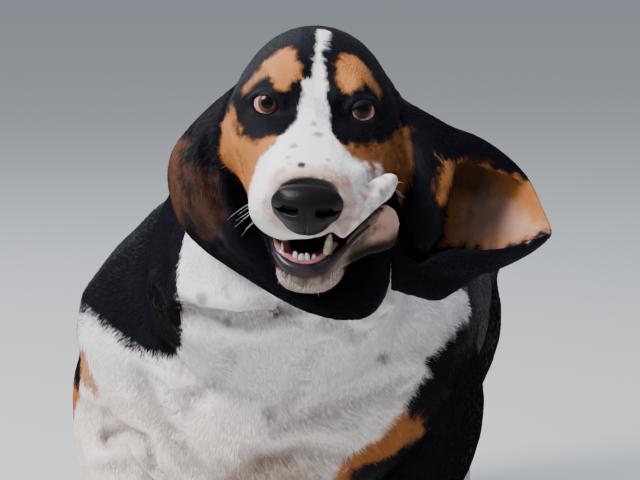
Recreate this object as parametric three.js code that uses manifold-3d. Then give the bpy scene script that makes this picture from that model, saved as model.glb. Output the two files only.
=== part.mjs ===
// A basset hound at life size, standing in mid-step with its head turned to its left and its ears flung out.
// Millimetres. The dog faces -Y, its left is +X and +Z is up. Every sub-part is one closed mesh.
// The origin is on the ground, below the middle of the dog's bounding box.
import * as THREE from 'three';
import { mergeVertices } from 'three/addons/utils/BufferGeometryUtils.js';
import Module from 'manifold-3d';

const wasm = await Module();
wasm.setup();

// Driving dimensions
const GAP = 0.35; // left between two pieces that touch
const WITHERS = 370; // height of the back over the shoulders
const TRUNK = 640; // breastbone to buttock
const CHEST = 292; // width of the rib cage
const BRISKET = 95; // height of the breastbone above the ground
const FOREFOOT = 84; // width of a front paw
const HINDFOOT = 72; // width of a hind paw
const EYES = new THREE.Vector3(75, -245, 440); // the point midway between the eyes
const EYE_SPAN = 67; // between the centres of the eyeballs
const EYE_RADIUS = 11.5;
const MUZZLE = 115; // eyes to the tip of the nose
const SKULL = 124; // eyes to the back of the skull
const NOSE_WIDTH = 50;
const EAR_THICK = 5.4;
const TOOTH = 7; // height of a lower incisor
const HEAD_TURN = 11; // degrees to the dog's left
const HEAD_NOD = 15; // degrees nose down
const HEAD_TILT = 3.5; // degrees, left eye lower

const v = (x, y, z) => new THREE.Vector3(x, y, z);
const mirrored = (p) => v(-p.x, p.y, p.z);
const rad = THREE.MathUtils.degToRad;

// Solids

/** A closed geometry as a manifold-3d solid that faces outwards. */
function solid(geometry) {
  const bare = new THREE.BufferGeometry();
  bare.setAttribute('position', geometry.getAttribute('position'));
  bare.setIndex(geometry.getIndex());
  const merged = mergeVertices(bare, 1e-4);
  const triVerts = new Uint32Array(merged.index.array);
  const vertProperties = new Float32Array(merged.attributes.position.array);
  const make = () => new wasm.Manifold(new wasm.Mesh({ numProp: 3, vertProperties, triVerts }));
  const made = make();
  if (made.volume() > 0) return made;
  for (let i = 0; i < triVerts.length; i += 3) {
    [triVerts[i + 1], triVerts[i + 2]] = [triVerts[i + 2], triVerts[i + 1]];
  }
  return make();
}

/** The geometry of a solid, with its vertices shared. */
function geometryOf(made) {
  const mesh = made.getMesh();
  const count = mesh.numProp;
  const positions = new Float32Array(mesh.numVert * 3);
  for (let i = 0; i < mesh.numVert; i++) {
    positions.set(mesh.vertProperties.subarray(i * count, i * count + 3), i * 3);
  }
  const geometry = new THREE.BufferGeometry();
  geometry.setAttribute('position', new THREE.BufferAttribute(positions, 3));
  geometry.setIndex(new THREE.BufferAttribute(new Uint32Array(mesh.triVerts), 1));
  return geometry;
}

const join = (...solids) => solids.reduce((all, one) => all.add(one));

/** The largest closed body of a solid. */
function largest(made) {
  const bodies = made.decompose();
  return bodies.reduce((best, one) => (one.volume() > best.volume() ? one : best));
}

/** The solid with its surface moved outwards, to cut a neighbour clear of it. */
function grown(made, by = GAP) {
  const geometry = geometryOf(made);
  geometry.computeVertexNormals();
  const { position, normal } = geometry.attributes;
  for (let i = 0; i < position.count; i++) {
    position.setXYZ(
      i,
      position.getX(i) + normal.getX(i) * by,
      position.getY(i) + normal.getY(i) * by,
      position.getZ(i) + normal.getZ(i) * by,
    );
  }
  return solid(geometry);
}

/** The solid cut clear of its neighbours, of which it keeps the largest body. */
const clearOf = (made, ...neighbours) =>
  largest(neighbours.reduce((rest, one) => rest.subtract(grown(one)).subtract(one), made));

/** The solid turned and moved by a matrix. */
const placed = (made, matrix) => solid(geometryOf(made).applyMatrix4(matrix));

// Shapes

/** A closed skin over rings of points, with a point in the middle of each end. */
function skinOver(rings) {
  const sides = rings[0].length;
  const points = rings.flat();
  const index = [];
  for (let i = 1; i < rings.length; i++) {
    for (let k = 0; k < sides; k++) {
      const next = (k + 1) % sides;
      const [a, b, c, d] = [(i - 1) * sides + k, (i - 1) * sides + next, i * sides + k, i * sides + next];
      index.push(a, b, d, a, d, c);
    }
  }
  for (const [ring, first] of [[rings[0], 0], [rings.at(-1), (rings.length - 1) * sides]]) {
    const middle = ring.reduce((sum, p) => sum.add(p), v(0, 0, 0)).divideScalar(sides);
    points.push(middle);
    for (let k = 0; k < sides; k++) {
      const next = (k + 1) % sides;
      if (first === 0) index.push(points.length - 1, first + next, first + k);
      else index.push(points.length - 1, first + k, first + next);
    }
  }
  return new THREE.BufferGeometry().setFromPoints(points).setIndex(index);
}

/** Reads the rows of a table as smooth curves over their share of the way from the first row to the last. */
function smoothRows(rows, along) {
  const width = rows[0].length;
  const times = [0];
  for (let i = 1; i < rows.length; i++) times.push(times[i - 1] + along(rows[i - 1], rows[i]));
  const reader = new THREE.CubicInterpolant(times, rows.flat(), width);
  return (share) => Array.from(reader.evaluate(share * times.at(-1)));
}

const power = (value, exponent) => Math.sign(value) * Math.abs(value) ** exponent;

/** A tube through stations of [x, y, z, half width, up, down, squareness], with flat ends.
 * The rings of an upright tube stay in planes of constant y. */
function tube(stations, steps, sides, upright = false) {
  const distance = (a, b) => Math.hypot(a[0] - b[0], a[1] - b[1], a[2] - b[2]);
  const read = smoothRows(stations, distance);
  const rings = [];
  for (let i = 0; i <= steps; i++) {
    const share = i / steps;
    const [x, y, z, half, up, down, square] = read(share);
    const here = v(x, y, z);
    const ahead = v(...read(Math.min(1, share + 0.01)));
    const behind = v(...read(Math.max(0, share - 0.01)));
    const tangent = upright ? v(0, 1, 0) : ahead.sub(behind).normalize();
    const across = v(1, 0, 0).addScaledVector(tangent, -tangent.x).normalize();
    const rise = across.clone().cross(tangent);
    const ring = [];
    for (let k = 0; k < sides; k++) {
      const angle = (k / sides) * 2 * Math.PI;
      const side = power(Math.cos(angle), 2 / square) * half;
      const lift = power(Math.sin(angle), 2 / square) * (Math.sin(angle) > 0 ? up : down);
      ring.push(here.clone().addScaledVector(across, side).addScaledVector(rise, lift));
    }
    rings.push(ring);
  }
  return skinOver(rings);
}

/** A ball stretched to three radii, turned by degrees about x, y and z, in its place. */
function ball(centre, radii, turn = [0, 0, 0], detail = 14) {
  const geometry = new THREE.SphereGeometry(1, detail, Math.round(detail * 0.7));
  const turned = new THREE.Quaternion().setFromEuler(new THREE.Euler(...turn.map(rad)));
  const stretch = v(...radii);
  return geometry.applyMatrix4(new THREE.Matrix4().compose(centre, turned, stretch));
}

/** Pushes a surface like clay: each stroke moves what lies near a point, and fades out with distance. */
function worked(geometry, strokes) {
  const { position } = geometry.attributes;
  const otherSide = (stroke) => ({ ...stroke, at: mirrored(stroke.at), push: mirrored(stroke.push) });
  const both = strokes.flatMap((stroke) => (stroke.pair ? [stroke, otherSide(stroke)] : [stroke]));
  const point = v(0, 0, 0);
  for (const { at, reach, push } of both) {
    for (let i = 0; i < position.count; i++) {
      point.fromBufferAttribute(position, i);
      const near = Math.exp(-point.distanceToSquared(at) / (reach * reach));
      point.addScaledVector(push, near);
      position.setXYZ(i, point.x, point.y, point.z);
    }
  }
  return geometry;
}

/** A leather sheet over a lattice of points, thinner towards its free edges.
 * Both faces have the same triangles. */
function sheet(lattice, thick, lengthSteps, widthSteps, thinStart = true) {
  const across = lattice.map((row) => new THREE.CatmullRomCurve3(row.map((p) => v(...p))));
  const middle = [];
  for (let j = 0; j <= widthSteps; j++) {
    const along = new THREE.CatmullRomCurve3(across.map((curve) => curve.getPoint(j / widthSteps)));
    for (let i = 0; i <= lengthSteps; i++) {
      middle[i] ??= [];
      middle[i][j] = along.getPoint(i / lengthSteps);
    }
  }
  const within = (value, most) => Math.min(most, Math.max(0, value));
  const clamped = (i, j) => middle[within(i, lengthSteps)][within(j, widthSteps)];
  const faces = [[], []];
  for (let i = 0; i <= lengthSteps; i++) {
    for (let j = 0; j <= widthSteps; j++) {
      const length = clamped(i + 1, j).clone().sub(clamped(i - 1, j));
      const width = clamped(i, j + 1).clone().sub(clamped(i, j - 1));
      const normal = length.cross(width).normalize();
      const edge = Math.min(j, widthSteps - j, lengthSteps - i, thinStart ? i : Infinity);
      const half = (thick / 2) * (edge === 0 ? 0.45 : edge === 1 ? 0.85 : 1);
      faces[0].push(middle[i][j].clone().addScaledVector(normal, half));
      faces[1].push(middle[i][j].clone().addScaledVector(normal, -half));
    }
  }
  const row = widthSteps + 1;
  const back = row * (lengthSteps + 1);
  const index = [];
  for (let i = 0; i < lengthSteps; i++) {
    for (let j = 0; j < widthSteps; j++) {
      const [a, b, c, d] = [i * row + j, i * row + j + 1, (i + 1) * row + j, (i + 1) * row + j + 1];
      index.push(a, c, b, b, c, d);
      index.push(back + a, back + b, back + c, back + b, back + d, back + c);
    }
  }
  const border = [];
  for (let j = 0; j < widthSteps; j++) border.push(j);
  for (let i = 0; i < lengthSteps; i++) border.push(i * row + widthSteps);
  for (let j = widthSteps; j > 0; j--) border.push(lengthSteps * row + j);
  for (let i = lengthSteps; i > 0; i--) border.push(i * row);
  border.forEach((a, n) => {
    const b = border[(n + 1) % border.length];
    index.push(a, b, back + a, b, back + b, back + a);
  });
  return new THREE.BufferGeometry().setFromPoints(faces.flat()).setIndex(index);
}

// Head, in its own frame: the origin midway between the eyes, -Y along the muzzle

const headTurned = new THREE.Matrix4()
  .makeTranslation(EYES.x, EYES.y, EYES.z)
  .multiply(new THREE.Matrix4().makeRotationZ(rad(HEAD_TURN)))
  .multiply(new THREE.Matrix4().makeRotationX(rad(HEAD_NOD)))
  .multiply(new THREE.Matrix4().makeRotationY(rad(HEAD_TILT)));

const EYE = v(EYE_SPAN / 2, 0, 0);
const EYE_FACING = v(0.33, -0.93, 0.1).normalize(); // the way that the left eye's lids open

/** The skull, cheeks and upper muzzle. */
function skullShape() {
  // y, top, widest height, bottom, half width, squareness
  const sections = [
    [-98, -30, -46, -58, 15, 2.1],
    [-94, -20, -48, -66, 27, 2.2],
    [-84, -14, -51, -75, 36, 2.4],
    [-68, -11, -52, -82, 42, 2.5],
    [-50, -8, -50, -84, 45, 2.4],
    [-32, -4, -44, -82, 49, 2.3],
    [-16, 4, -38, -78, 55, 2.2],
    [0, 17, -30, -76, 61, 2.2],
    [18, 28, -26, -74, 65, 2.1],
    [42, 34, -24, -72, 64, 2],
    [68, 35.5, -22, -66, 59, 2],
    [92, 32, -16, -54, 50, 2],
    [110, 22, -9, -36, 37, 2],
    [SKULL - 3, 8, -4, -16, 18, 2],
  ];
  const stations = sections.map(([y, top, waist, low, half, square]) => [
    0, y, waist, half, top - waist, waist - low, square,
  ]);
  return worked(tube(stations, 29, 28, true), [
    { at: v(18, -22, -2), reach: 12, push: v(0, 5, -3), pair: true }, // inner corner of the eye
    { at: v(34, -12, -2), reach: 14, push: v(1, 7, 0), pair: true }, // socket
    { at: v(32, -4, 18), reach: 16, push: v(2, -8, 4), pair: true }, // brow
    { at: v(0, 2, 27), reach: 13, push: v(0, 3, -5) }, // furrow between the brows
    { at: v(48, -14, -24), reach: 17, push: v(3, -5, 0), pair: true }, // cheekbone
    { at: v(44, -52, -26), reach: 18, push: v(-5, 0, 0), pair: true }, // hollow of the muzzle
    { at: v(38, -84, -50), reach: 17, push: v(5, -2, 0), pair: true }, // whisker pad
    { at: v(64, 22, -48), reach: 26, push: v(8, 0, -4), pair: true }, // loose cheek
    { at: v(38, -70, -80), reach: 24, push: v(4, -2, 30) }, // left side of the lip, lifted
  ]);
}

/** The lids: a rim about one eye, longer than it is high. */
function lids(side) {
  const facing = side > 0 ? EYE_FACING : mirrored(EYE_FACING);
  const rim = new THREE.TorusGeometry(10.6, 2.6, 6, 18);
  const look = new THREE.Matrix4().lookAt(facing, v(0, 0, 0), v(0, 0, 1));
  const centre = v(side * EYE.x, 0, 0).addScaledVector(facing, EYE_RADIUS - 5);
  rim.scale(1.16, 0.86, 1);
  return rim.applyMatrix4(look).translate(centre.x, centre.y, centre.z);
}

/** The slit between the lids of one eye, as a cutter. */
function slit(side) {
  const facing = side > 0 ? EYE_FACING : mirrored(EYE_FACING);
  const centre = v(side * EYE.x, 0, 0).addScaledVector(facing, EYE_RADIUS + 1);
  return ball(centre, [10, 12, 6.6], [0, 0, side * 19], 12);
}

/** The flesh behind the lids, so that the rim sits on the face. */
function orbit(side) {
  const facing = side > 0 ? EYE_FACING : mirrored(EYE_FACING);
  const centre = v(side * EYE.x, 0, 0).addScaledVector(facing, -8);
  return ball(centre, [21, 15, 18], [0, 0, side * 24], 12);
}

/** The upper lip of the dog's left side, thrown out and up: x, y, z, half width, up, down, squareness. */
const FLUNG_LIP = [
  [20, -94, -60, 9, 9, 9, 2],
  [34, -84, -49, 9, 8, 9, 2],
  [44, -73, -43, 8, 7, 8, 2],
  [53, -63, -38, 6, 5, 6, 2],
  [60, -55, -34, 2, 2, 2, 2],
];

/** The lower lip of the dog's left side, thrown out into a shallow cup. Rows run back from the chin. */
const FLUNG_JOWL = [
  [[10, -86, -92], [14, -82, -96], [17, -82, -100]],
  [[28, -86, -77], [31, -78, -85], [34, -84, -88]],
  [[37, -80, -68], [43, -69, -78], [47, -76, -84]],
  [[45, -72, -60], [54, -59, -73], [62, -69, -82]],
  [[52, -64, -54], [62, -51, -65], [67, -59, -72]],
  [[55, -58, -52], [60, -50, -57], [64, -54, -60]],
];

function noseShape() {
  const half = NOSE_WIDTH / 2;
  const middle = v(0, 17 - MUZZLE, -40);
  const at = (x, y, z) => middle.clone().add(v(x, y, z));
  const pad = worked(ball(middle, [half, 18, 19], [-8, 0, 0], 17), [
    { at: at(half, 0, -15), reach: 13, push: v(-9, 0, 6), pair: true }, // drawn in below
    { at: at(half * 0.75, -4, 13), reach: 11, push: v(3, -1, 3), pair: true }, // wings
    { at: at(0, -16, -16), reach: 11, push: v(0, 4, 0) }, // lip below the nose
  ]);
  const cuts = [-1, 1].flatMap((side) => [
    solid(ball(at(side * 12.5, -17, 1), [6.5, 9, 4.6], [0, side * 14, side * 18], 10)),
    solid(ball(at(side * 21, -8, -2), [6, 9, 1.8], [0, side * 34, side * 34], 8)),
  ]);
  const groove = solid(ball(at(0, -19, -10), [1, 4.2, 13], [0, 0, 0], 8));
  return cuts.concat(groove).reduce((all, cut) => all.subtract(cut), solid(pad));
}

/** The lower jaw with its lips, lower canines and incisors. */
function jawShape() {
  // y, top, widest height, bottom, half width, squareness
  const sections = [
    [-93, -94, -101, -107, 10, 2.2],
    [-88, -90, -102, -113, 18, 2.3],
    [-78, -89, -103, -117, 22, 2.4],
    [-60, -88, -102, -117, 24, 2.4],
    [-40, -86, -99, -114, 27, 2.4],
    [-20, -78, -94, -110, 33, 2.3],
    [-4, -66, -88, -105, 39, 2.2],
    [16, -58, -82, -99, 42, 2.2],
    [38, -54, -76, -90, 40, 2.2],
    [56, -54, -66, -78, 30, 2.1],
  ];
  const stations = sections.map(([y, top, waist, low, half, square]) => [
    2, y, waist, half, top - waist, waist - low, square,
  ]);
  const jaw = worked(tube(stations, 18, 18, true), [
    { at: v(0, -68, -86), reach: 13, push: v(0, 0, -6) }, // floor of the mouth, inside the lip
    { at: v(0, -46, -84), reach: 14, push: v(0, 0, -5) },
    { at: v(34, -60, -92), reach: 20, push: v(12, 2, 8) }, // the lip is drawn out on the dog's left
  ]);
  const incisors = [-2.5, -1.5, -0.5, 0.5, 1.5, 2.5].map((place) => {
    const crown = -89 + TOOTH + Math.abs(place) * 0.5;
    const centre = v(place * 4.4 - 1, -84 + place * place * 0.7, crown - TOOTH);
    return solid(ball(centre, [2.5, 2.4, TOOTH], [8, 0, 0], 6));
  });
  const canines = [-1, 1].map((side) => {
    const root = [
      [side * 13.5, -76, -100, 4, 4.2, 4.2, 2],
      [side * 14, -79, -84, 3.8, 4, 4, 2],
      [side * 14.5, -77, -77, 2.8, 3, 3, 2],
      [side * 14.8, -75, -72, 0.9, 0.9, 0.9, 2],
    ];
    return solid(tube(root, 4, 6));
  });
  const jowl = solid(sheet(FLUNG_JOWL, 6.4, 8, 4));
  return largest(join(solid(jaw), jowl, ...incisors, ...canines));
}

/** The right ear sweeps forwards, passes under the jaw and comes up beside the chin.
 * Rows run from root to tip. Each goes from the hind edge, round the fold, to the edge by the face. */
const RIGHT_EAR = [
  [[-44, 70, -10], [-46, 56, 2], [-50, 40, 2], [-50, 26, -12]],
  [[-80, 54, -40], [-86, 40, -32], [-79, 20, -34], [-54, 10, -48]],
  [[-98, 38, -70], [-105, 22, -60], [-88, 2, -58], [-48, 0, -72]],
  [[-84, 12, -108], [-92, -10, -96], [-74, -24, -88], [-32, -14, -96]],
  [[-38, 0, -126], [-44, -44, -119], [-40, -44, -110], [-16, -22, -112]],
  [[8, -8, -124], [10, -54, -144], [14, -47, -133], [20, -26, -114]],
  [[40, -22, -126], [46, -46, -147], [56, -42, -130], [58, -28, -104]],
  [[52, -28, -126], [56, -38, -138], [63, -32, -126], [62, -18, -106]],
];

/** The left ear stands out sideways, its front and hind edges curled forwards about a cup.
 * Rows run outwards. Each goes from the front edge, over the top and down the back, to the hind edge. */
const LEFT_EAR = [
  [[52, 16, -34], [48, 30, -6], [46, 46, 0], [44, 62, -22], [44, 60, -40], [46, 54, -50]],
  [[86, -22, -104], [87, -10, -40], [85, 40, -17], [84, 62, -58], [84, 10, -117], [81, -22, -112]],
  [[100, -27, -86], [101, -9, -44], [103, 45, -28], [104, 60, -74], [103, -14, -124], [99, -33, -96]],
  [[101, -12, -56], [111, 22, -34], [119, 46, -34], [122, 56, -80], [120, -18, -120], [118, -37, -92]],
  [[110, 10, -41], [129, 33, -40], [137, 46, -43], [141, 42, -82], [142, -20, -112], [140, -36, -91]],
  [[138, 21, -52], [152, 31, -53], [160, 30, -56], [165, 22, -79], [166, -14, -100], [160, -27, -89]],
  [[162, 28, -59], [168, 20, -66], [172, 14, -70], [179, 6, -79], [184, -5, -88], [177, -13, -85]],
];

/** The tip of the left ear, which hangs behind the hind edge. */
const LEFT_EAR_TIP = [
  [[62, -8, -104], [64, -13, -120], [64, -15, -138]],
  [[80, -2, -106], [80, -12, -122], [82, -17, -141]],
  [[98, -6, -112], [99, -16, -128], [101, -21, -143]],
  [[116, -10, -112], [116, -18, -124], [115, -20, -133]],
  [[134, -12, -110], [133, -17, -116], [131, -20, -121]],
];

// Trunk, neck and tail

function trunkShape() {
  const front = -TRUNK * 0.21;
  // share of the length, top, widest height, bottom and half width, squareness
  const sections = [
    [0, 262, 212, 148, 36, 2],
    [0.025, 298, 218, 116, 78, 2.1],
    [0.08, 340, 228, 100, 116, 2.2],
    [0.15, 364, 236, 95, 136, 2.2],
    [0.24, WITHERS, 244, BRISKET, CHEST * 0.495, 2.2],
    [0.34, WITHERS - 7, 246, BRISKET + 8, CHEST * 0.5, 2.2],
    [0.46, WITHERS - 16, 248, BRISKET + 26, CHEST * 0.49, 2.2],
    [0.58, WITHERS - 19, 250, BRISKET + 46, CHEST * 0.44, 2.2],
    [0.7, WITHERS - 16, 256, BRISKET + 70, CHEST * 0.375, 2.2],
    [0.8, WITHERS - 18, 262, BRISKET + 90, CHEST * 0.365, 2.2],
    [0.88, WITHERS - 28, 266, BRISKET + 108, CHEST * 0.35, 2.2],
    [0.95, WITHERS - 50, 270, BRISKET + 130, CHEST * 0.29, 2.1],
    [0.985, WITHERS - 76, 272, BRISKET + 148, CHEST * 0.19, 2],
    [1, WITHERS - 92, 272, BRISKET + 164, CHEST * 0.09, 2],
  ];
  const stations = sections.map(([share, top, waist, low, half, square]) => [
    0, front + share * TRUNK, waist, half, top - waist, waist - low, square,
  ]);
  return worked(tube(stations, 23, 26, true), [
    { at: v(-120, -46, 252), reach: 54, push: v(-34, -6, 0) }, // loose skin of the right shoulder
    { at: v(118, -42, 240), reach: 64, push: v(20, -8, 0) }, // left shoulder
    { at: v(-122, -36, 190), reach: 50, push: v(-18, -8, 0) }, // right upper arm
    { at: v(122, -20, 190), reach: 50, push: v(10, -4, 0) }, // left upper arm
    { at: v(0, -130, 222), reach: 44, push: v(0, -14, 0) }, // breastbone
    { at: v(98, 380, 250), reach: 62, push: v(11, 0, -6), pair: true }, // thigh
    { at: v(58, 26, 368), reach: 40, push: v(4, 0, 5), pair: true }, // shoulder blade
    { at: v(128, 40, 280), reach: 60, push: v(6, 0, 2), pair: true }, // shoulder muscle
    { at: v(0, 240, 360), reach: 46, push: v(0, 0, 4) }, // loin
    { at: v(-92, -70, 122), reach: 46, push: v(-10, -2, -12) }, // loose skin beside the right leg
  ]);
}

function neckShape() {
  // x, y, z, half width, up, down, squareness
  const stations = [
    [0, 34, 262, 104, 100, 104, 2.1],
    [4, -30, 276, 112, 112, 108, 2.1],
    [14, -86, 304, 104, 116, 104, 2.1],
    [30, -130, 342, 90, 104, 96, 2.1],
    [44, -162, 384, 74, 80, 84, 2.1],
    [55, -184, 416, 60, 56, 62, 2.1],
    [62, -196, 436, 42, 34, 42, 2],
  ];
  return worked(tube(stations, 17, 22), [
    { at: v(-20, -170, 296), reach: 46, push: v(-22, -34, -8) }, // dewlap, swung to the dog's right
    { at: v(30, -186, 296), reach: 42, push: v(0, -40, -10) },
    { at: v(88, -160, 284), reach: 36, push: v(14, -28, -8) }, // its left fold
  ]);
}

function tailShape() {
  // x, y, z, half width, up, down, squareness
  const stations = [
    [0, 436, 310, 28, 26, 30, 2],
    [-2, 488, 312, 21, 21, 23, 2],
    [-14, 534, 330, 17, 17, 18, 2],
    [-38, 570, 360, 14, 14, 15, 2],
    [-70, 588, 388, 11, 11, 12, 2],
    [-100, 590, 408, 7.5, 8, 8, 2],
    [-120, 584, 419, 3, 3, 3, 2],
  ];
  return tube(stations, 14, 10);
}

// Legs: the left leg of each pair, moved forwards or back and mirrored by the caller

/** A limb through stations, with its foot, for one side of the body. */
function limb(stations, stride, splay, side, steps, sides) {
  const moved = stations.map(([x, y, z, ...size], i) => {
    const share = i / (stations.length - 1);
    const out = x + splay * Math.sin(share * Math.PI);
    return [side * out, y + stride * share, z, ...size];
  });
  return solid(tube(moved, steps, sides));
}

/** A paw: a pad, four toes and four claws, flat below. */
function paw(centre, width, side, turnOut) {
  const toes = [-1.5, -0.5, 0.5, 1.5].flatMap((place) => {
    const out = place * width * 0.24;
    const reach = -width * (0.56 - 0.07 * place * place);
    const tip = reach - width * 0.24;
    const size = [width * 0.15, width * 0.3, width * 0.23];
    const toe = ball(v(out, reach, width * 0.22), size, [14, 0, 0], 7);
    const claw = [
      [out * 1.02, tip + width * 0.06, width * 0.16, 3.8, 4, 4, 2],
      [out * 1.05, tip - width * 0.05, width * 0.13, 2.8, 3.2, 3.2, 2],
      [out * 1.07, tip - width * 0.11, width * 0.06, 1, 1.2, 1.2, 2],
    ];
    return [solid(toe), solid(tube(claw, 2, 4))];
  });
  const sole = [width * 0.48, width * 0.54, width * 0.36];
  const pad = ball(v(0, -width * 0.04, width * 0.24), sole, [0, 0, 0], 9);
  const whole = join(solid(pad), ...toes);
  const matrix = new THREE.Matrix4()
    .makeTranslation(side * centre.x, centre.y, 0)
    .multiply(new THREE.Matrix4().makeRotationZ(rad(side * turnOut)));
  const ground = new THREE.BoxGeometry(400, 400, 100).translate(side * centre.x, centre.y, -50);
  return largest(placed(whole, matrix).subtract(solid(ground)));
}

// x, y, z, half width, fore, aft, squareness
const FORELEG = [
  [100, -28, 246, 44, 66, 66, 2],
  [116, -18, 208, 46, 60, 60, 2],
  [122, -4, 170, 41, 46, 50, 2.1],
  [117, -8, 134, 36, 38, 40, 2.1],
  [102, -16, 98, 31, 32, 33, 2.1],
  [91, -22, 68, 28, 29, 30, 2.1],
  [92, -30, 40, 28, 29, 30, 2],
  [94, -36, 24, 24, 25, 25, 2],
];
const HINDLEG = [
  [56, 384, 262, 36, 92, 104, 2],
  [74, 380, 222, 40, 84, 94, 2],
  [82, 374, 180, 37, 66, 74, 2],
  [76, 398, 142, 26, 42, 44, 2],
  [67, 434, 108, 20, 28, 30, 2.1],
  [64, 446, 78, 18.5, 23, 25, 2.2],
  [64, 440, 44, 21, 24, 25, 2.1],
  [65, 430, 24, 20, 21, 22, 2],
];

// The pieces, each cut clear of those that it grows from

const EYE_SIZE = [EYE_RADIUS, EYE_RADIUS, EYE_RADIUS];
const eyeball = (side) => solid(ball(v(side * EYE.x, 0, 0), EYE_SIZE, [90, 0, 0], 14));
const nose = noseShape();
const jaw = jawShape();
const mouth = solid(ball(v(0, -46, -88), [27, 52, 26], [0, 0, 0], 12));
const flungLip = solid(tube(FLUNG_LIP, 9, 10));
const faceParts = [-1, 1].flatMap((side) => [solid(orbit(side)), solid(lids(side))]);
const face = join(solid(skullShape()), flungLip, ...faceParts);
const openings = [solid(slit(-1)), solid(slit(1)), mouth];
const openFace = openings.reduce((all, cut) => all.subtract(cut), face);
const head = clearOf(openFace, nose, jaw, eyeball(-1), eyeball(1));
const earRight = solid(sheet(RIGHT_EAR, EAR_THICK, 22, 8, false));
const earLeft = join(
  solid(sheet(LEFT_EAR, EAR_THICK, 14, 17, false)),
  solid(sheet(LEFT_EAR_TIP, EAR_THICK, 7, 5)),
);

const trunk = solid(trunkShape());
const inBody = (made) => placed(made, headTurned);
const bodyHead = inBody(head);
const bodyJaw = inBody(jaw);
const bodyEarRight = clearOf(inBody(earRight), bodyHead, bodyJaw);
const bodyEarLeft = clearOf(inBody(earLeft), bodyHead, bodyJaw);
const headPieces = [bodyHead, bodyJaw, bodyEarRight, bodyEarLeft];
const neck = clearOf(solid(neckShape()), trunk, ...headPieces);
const tail = clearOf(solid(tailShape()), trunk);

/** A leg and its paw, the leg cut clear of the trunk and of the paw. */
function legAndPaw(stations, stride, splay, side, pawWidth, turnOut, wrist) {
  const end = stations.at(-1);
  const foot = paw(v(end[0] + 2, end[1] + stride - pawWidth * 0.02, 0), pawWidth, side, turnOut);
  const whole = limb(stations, stride, splay, side, 12, 11);
  const floor = new THREE.BoxGeometry(400, 400, wrist * 2).translate(side * end[0], end[1] + stride, 0);
  const leg = clearOf(whole.subtract(solid(floor)), trunk);
  const cuff = whole.intersect(solid(floor.clone().translate(0, 0, -GAP)));
  const paws = largest(join(foot, largest(cuff)).subtract(
    solid(new THREE.BoxGeometry(400, 400, 100).translate(side * end[0], end[1] + stride, -50)),
  ));
  return [leg, paws];
}

const [foreRight, foreRightPaw] = legAndPaw(FORELEG, -62, 16, -1, FOREFOOT, 8, 58);
const [foreLeft, foreLeftPaw] = legAndPaw(FORELEG, 30, 0, 1, FOREFOOT, 8, 58);
const [hindRight, hindRightPaw] = legAndPaw(HINDLEG, 34, 0, -1, HINDFOOT, 4, 62);
const [hindLeft, hindLeftPaw] = legAndPaw(HINDLEG, -44, 0, 1, HINDFOOT, 4, 62);

// The scene graph

const finish = (color, roughness) => new THREE.MeshStandardMaterial({ color, roughness, metalness: 0 });
const blackCoat = finish(0x17161a, 0.75);
const whiteCoat = finish(0xe9e2d9, 0.85);
const tanCoat = finish(0xb0672e, 0.8);
const leatherBlack = finish(0x232026, 0.4);
const eyeGloss = finish(0x3a1a0c, 0.1);

const dog = new THREE.Group();
function node(name, made, material) {
  const mesh = new THREE.Mesh(geometryOf(made), material);
  mesh.name = name;
  dog.add(mesh);
}

node('torso', trunk, blackCoat);
node('neck', neck, whiteCoat);
node('head', bodyHead, tanCoat);
node('lower_jaw', bodyJaw, whiteCoat);
node('nose', inBody(nose), leatherBlack);
node('eye_right', inBody(eyeball(-1)), eyeGloss);
node('eye_left', inBody(eyeball(1)), eyeGloss);
node('ear_right', bodyEarRight, blackCoat);
node('ear_left', bodyEarLeft, blackCoat);
node('tail', tail, blackCoat);
node('foreleg_right', foreRight, whiteCoat);
node('foreleg_left', foreLeft, whiteCoat);
node('hindleg_right', hindRight, whiteCoat);
node('hindleg_left', hindLeft, whiteCoat);
node('forepaw_right', foreRightPaw, whiteCoat);
node('forepaw_left', foreLeftPaw, whiteCoat);
node('hindpaw_right', hindRightPaw, whiteCoat);
node('hindpaw_left', hindLeftPaw, whiteCoat);

const box = new THREE.Box3().setFromObject(dog);
const middle = box.getCenter(v(0, 0, 0));
dog.position.set(-middle.x, -middle.y, -box.min.z);

export default dog;
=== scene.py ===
"""A life-size basset hound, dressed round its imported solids: skin, coat, eyes, nose and mouth.

Head places are millimetres in the head's own frame: its origin lies midway between the eyes,
x to the dog's left, y from nose to nape, z to the crown.
Dog places are millimetres from the ground below the withers, with the same three directions.
Everything else is in metres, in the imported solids' frame.
"""

import math

import bmesh
import bpy
import numpy as np
from mathutils import Matrix, Vector, kdtree
from mathutils.bvhtree import BVHTree


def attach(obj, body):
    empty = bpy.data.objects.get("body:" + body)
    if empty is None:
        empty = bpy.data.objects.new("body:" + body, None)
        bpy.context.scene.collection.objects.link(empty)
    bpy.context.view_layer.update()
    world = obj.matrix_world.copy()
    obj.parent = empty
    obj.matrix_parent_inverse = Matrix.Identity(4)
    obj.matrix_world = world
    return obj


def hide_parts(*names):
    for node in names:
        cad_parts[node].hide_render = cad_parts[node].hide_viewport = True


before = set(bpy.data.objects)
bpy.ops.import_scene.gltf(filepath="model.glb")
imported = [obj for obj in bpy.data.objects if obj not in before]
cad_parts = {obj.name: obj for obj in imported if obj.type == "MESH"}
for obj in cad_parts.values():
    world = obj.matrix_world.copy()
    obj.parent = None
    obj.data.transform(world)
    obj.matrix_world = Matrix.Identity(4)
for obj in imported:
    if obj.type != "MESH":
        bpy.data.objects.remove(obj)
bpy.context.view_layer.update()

MM = 0.001

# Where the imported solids' frame lies from the dog's places, and where the head is and how it turns
FRAME_SHIFT = Vector((-36.447, -126.776, 0.0))
EYES = Vector((75.0, -245.0, 440.0))
HEAD_TURN, HEAD_NOD, HEAD_TILT = (math.radians(angle) for angle in (11.0, 15.0, 3.5))

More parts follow.
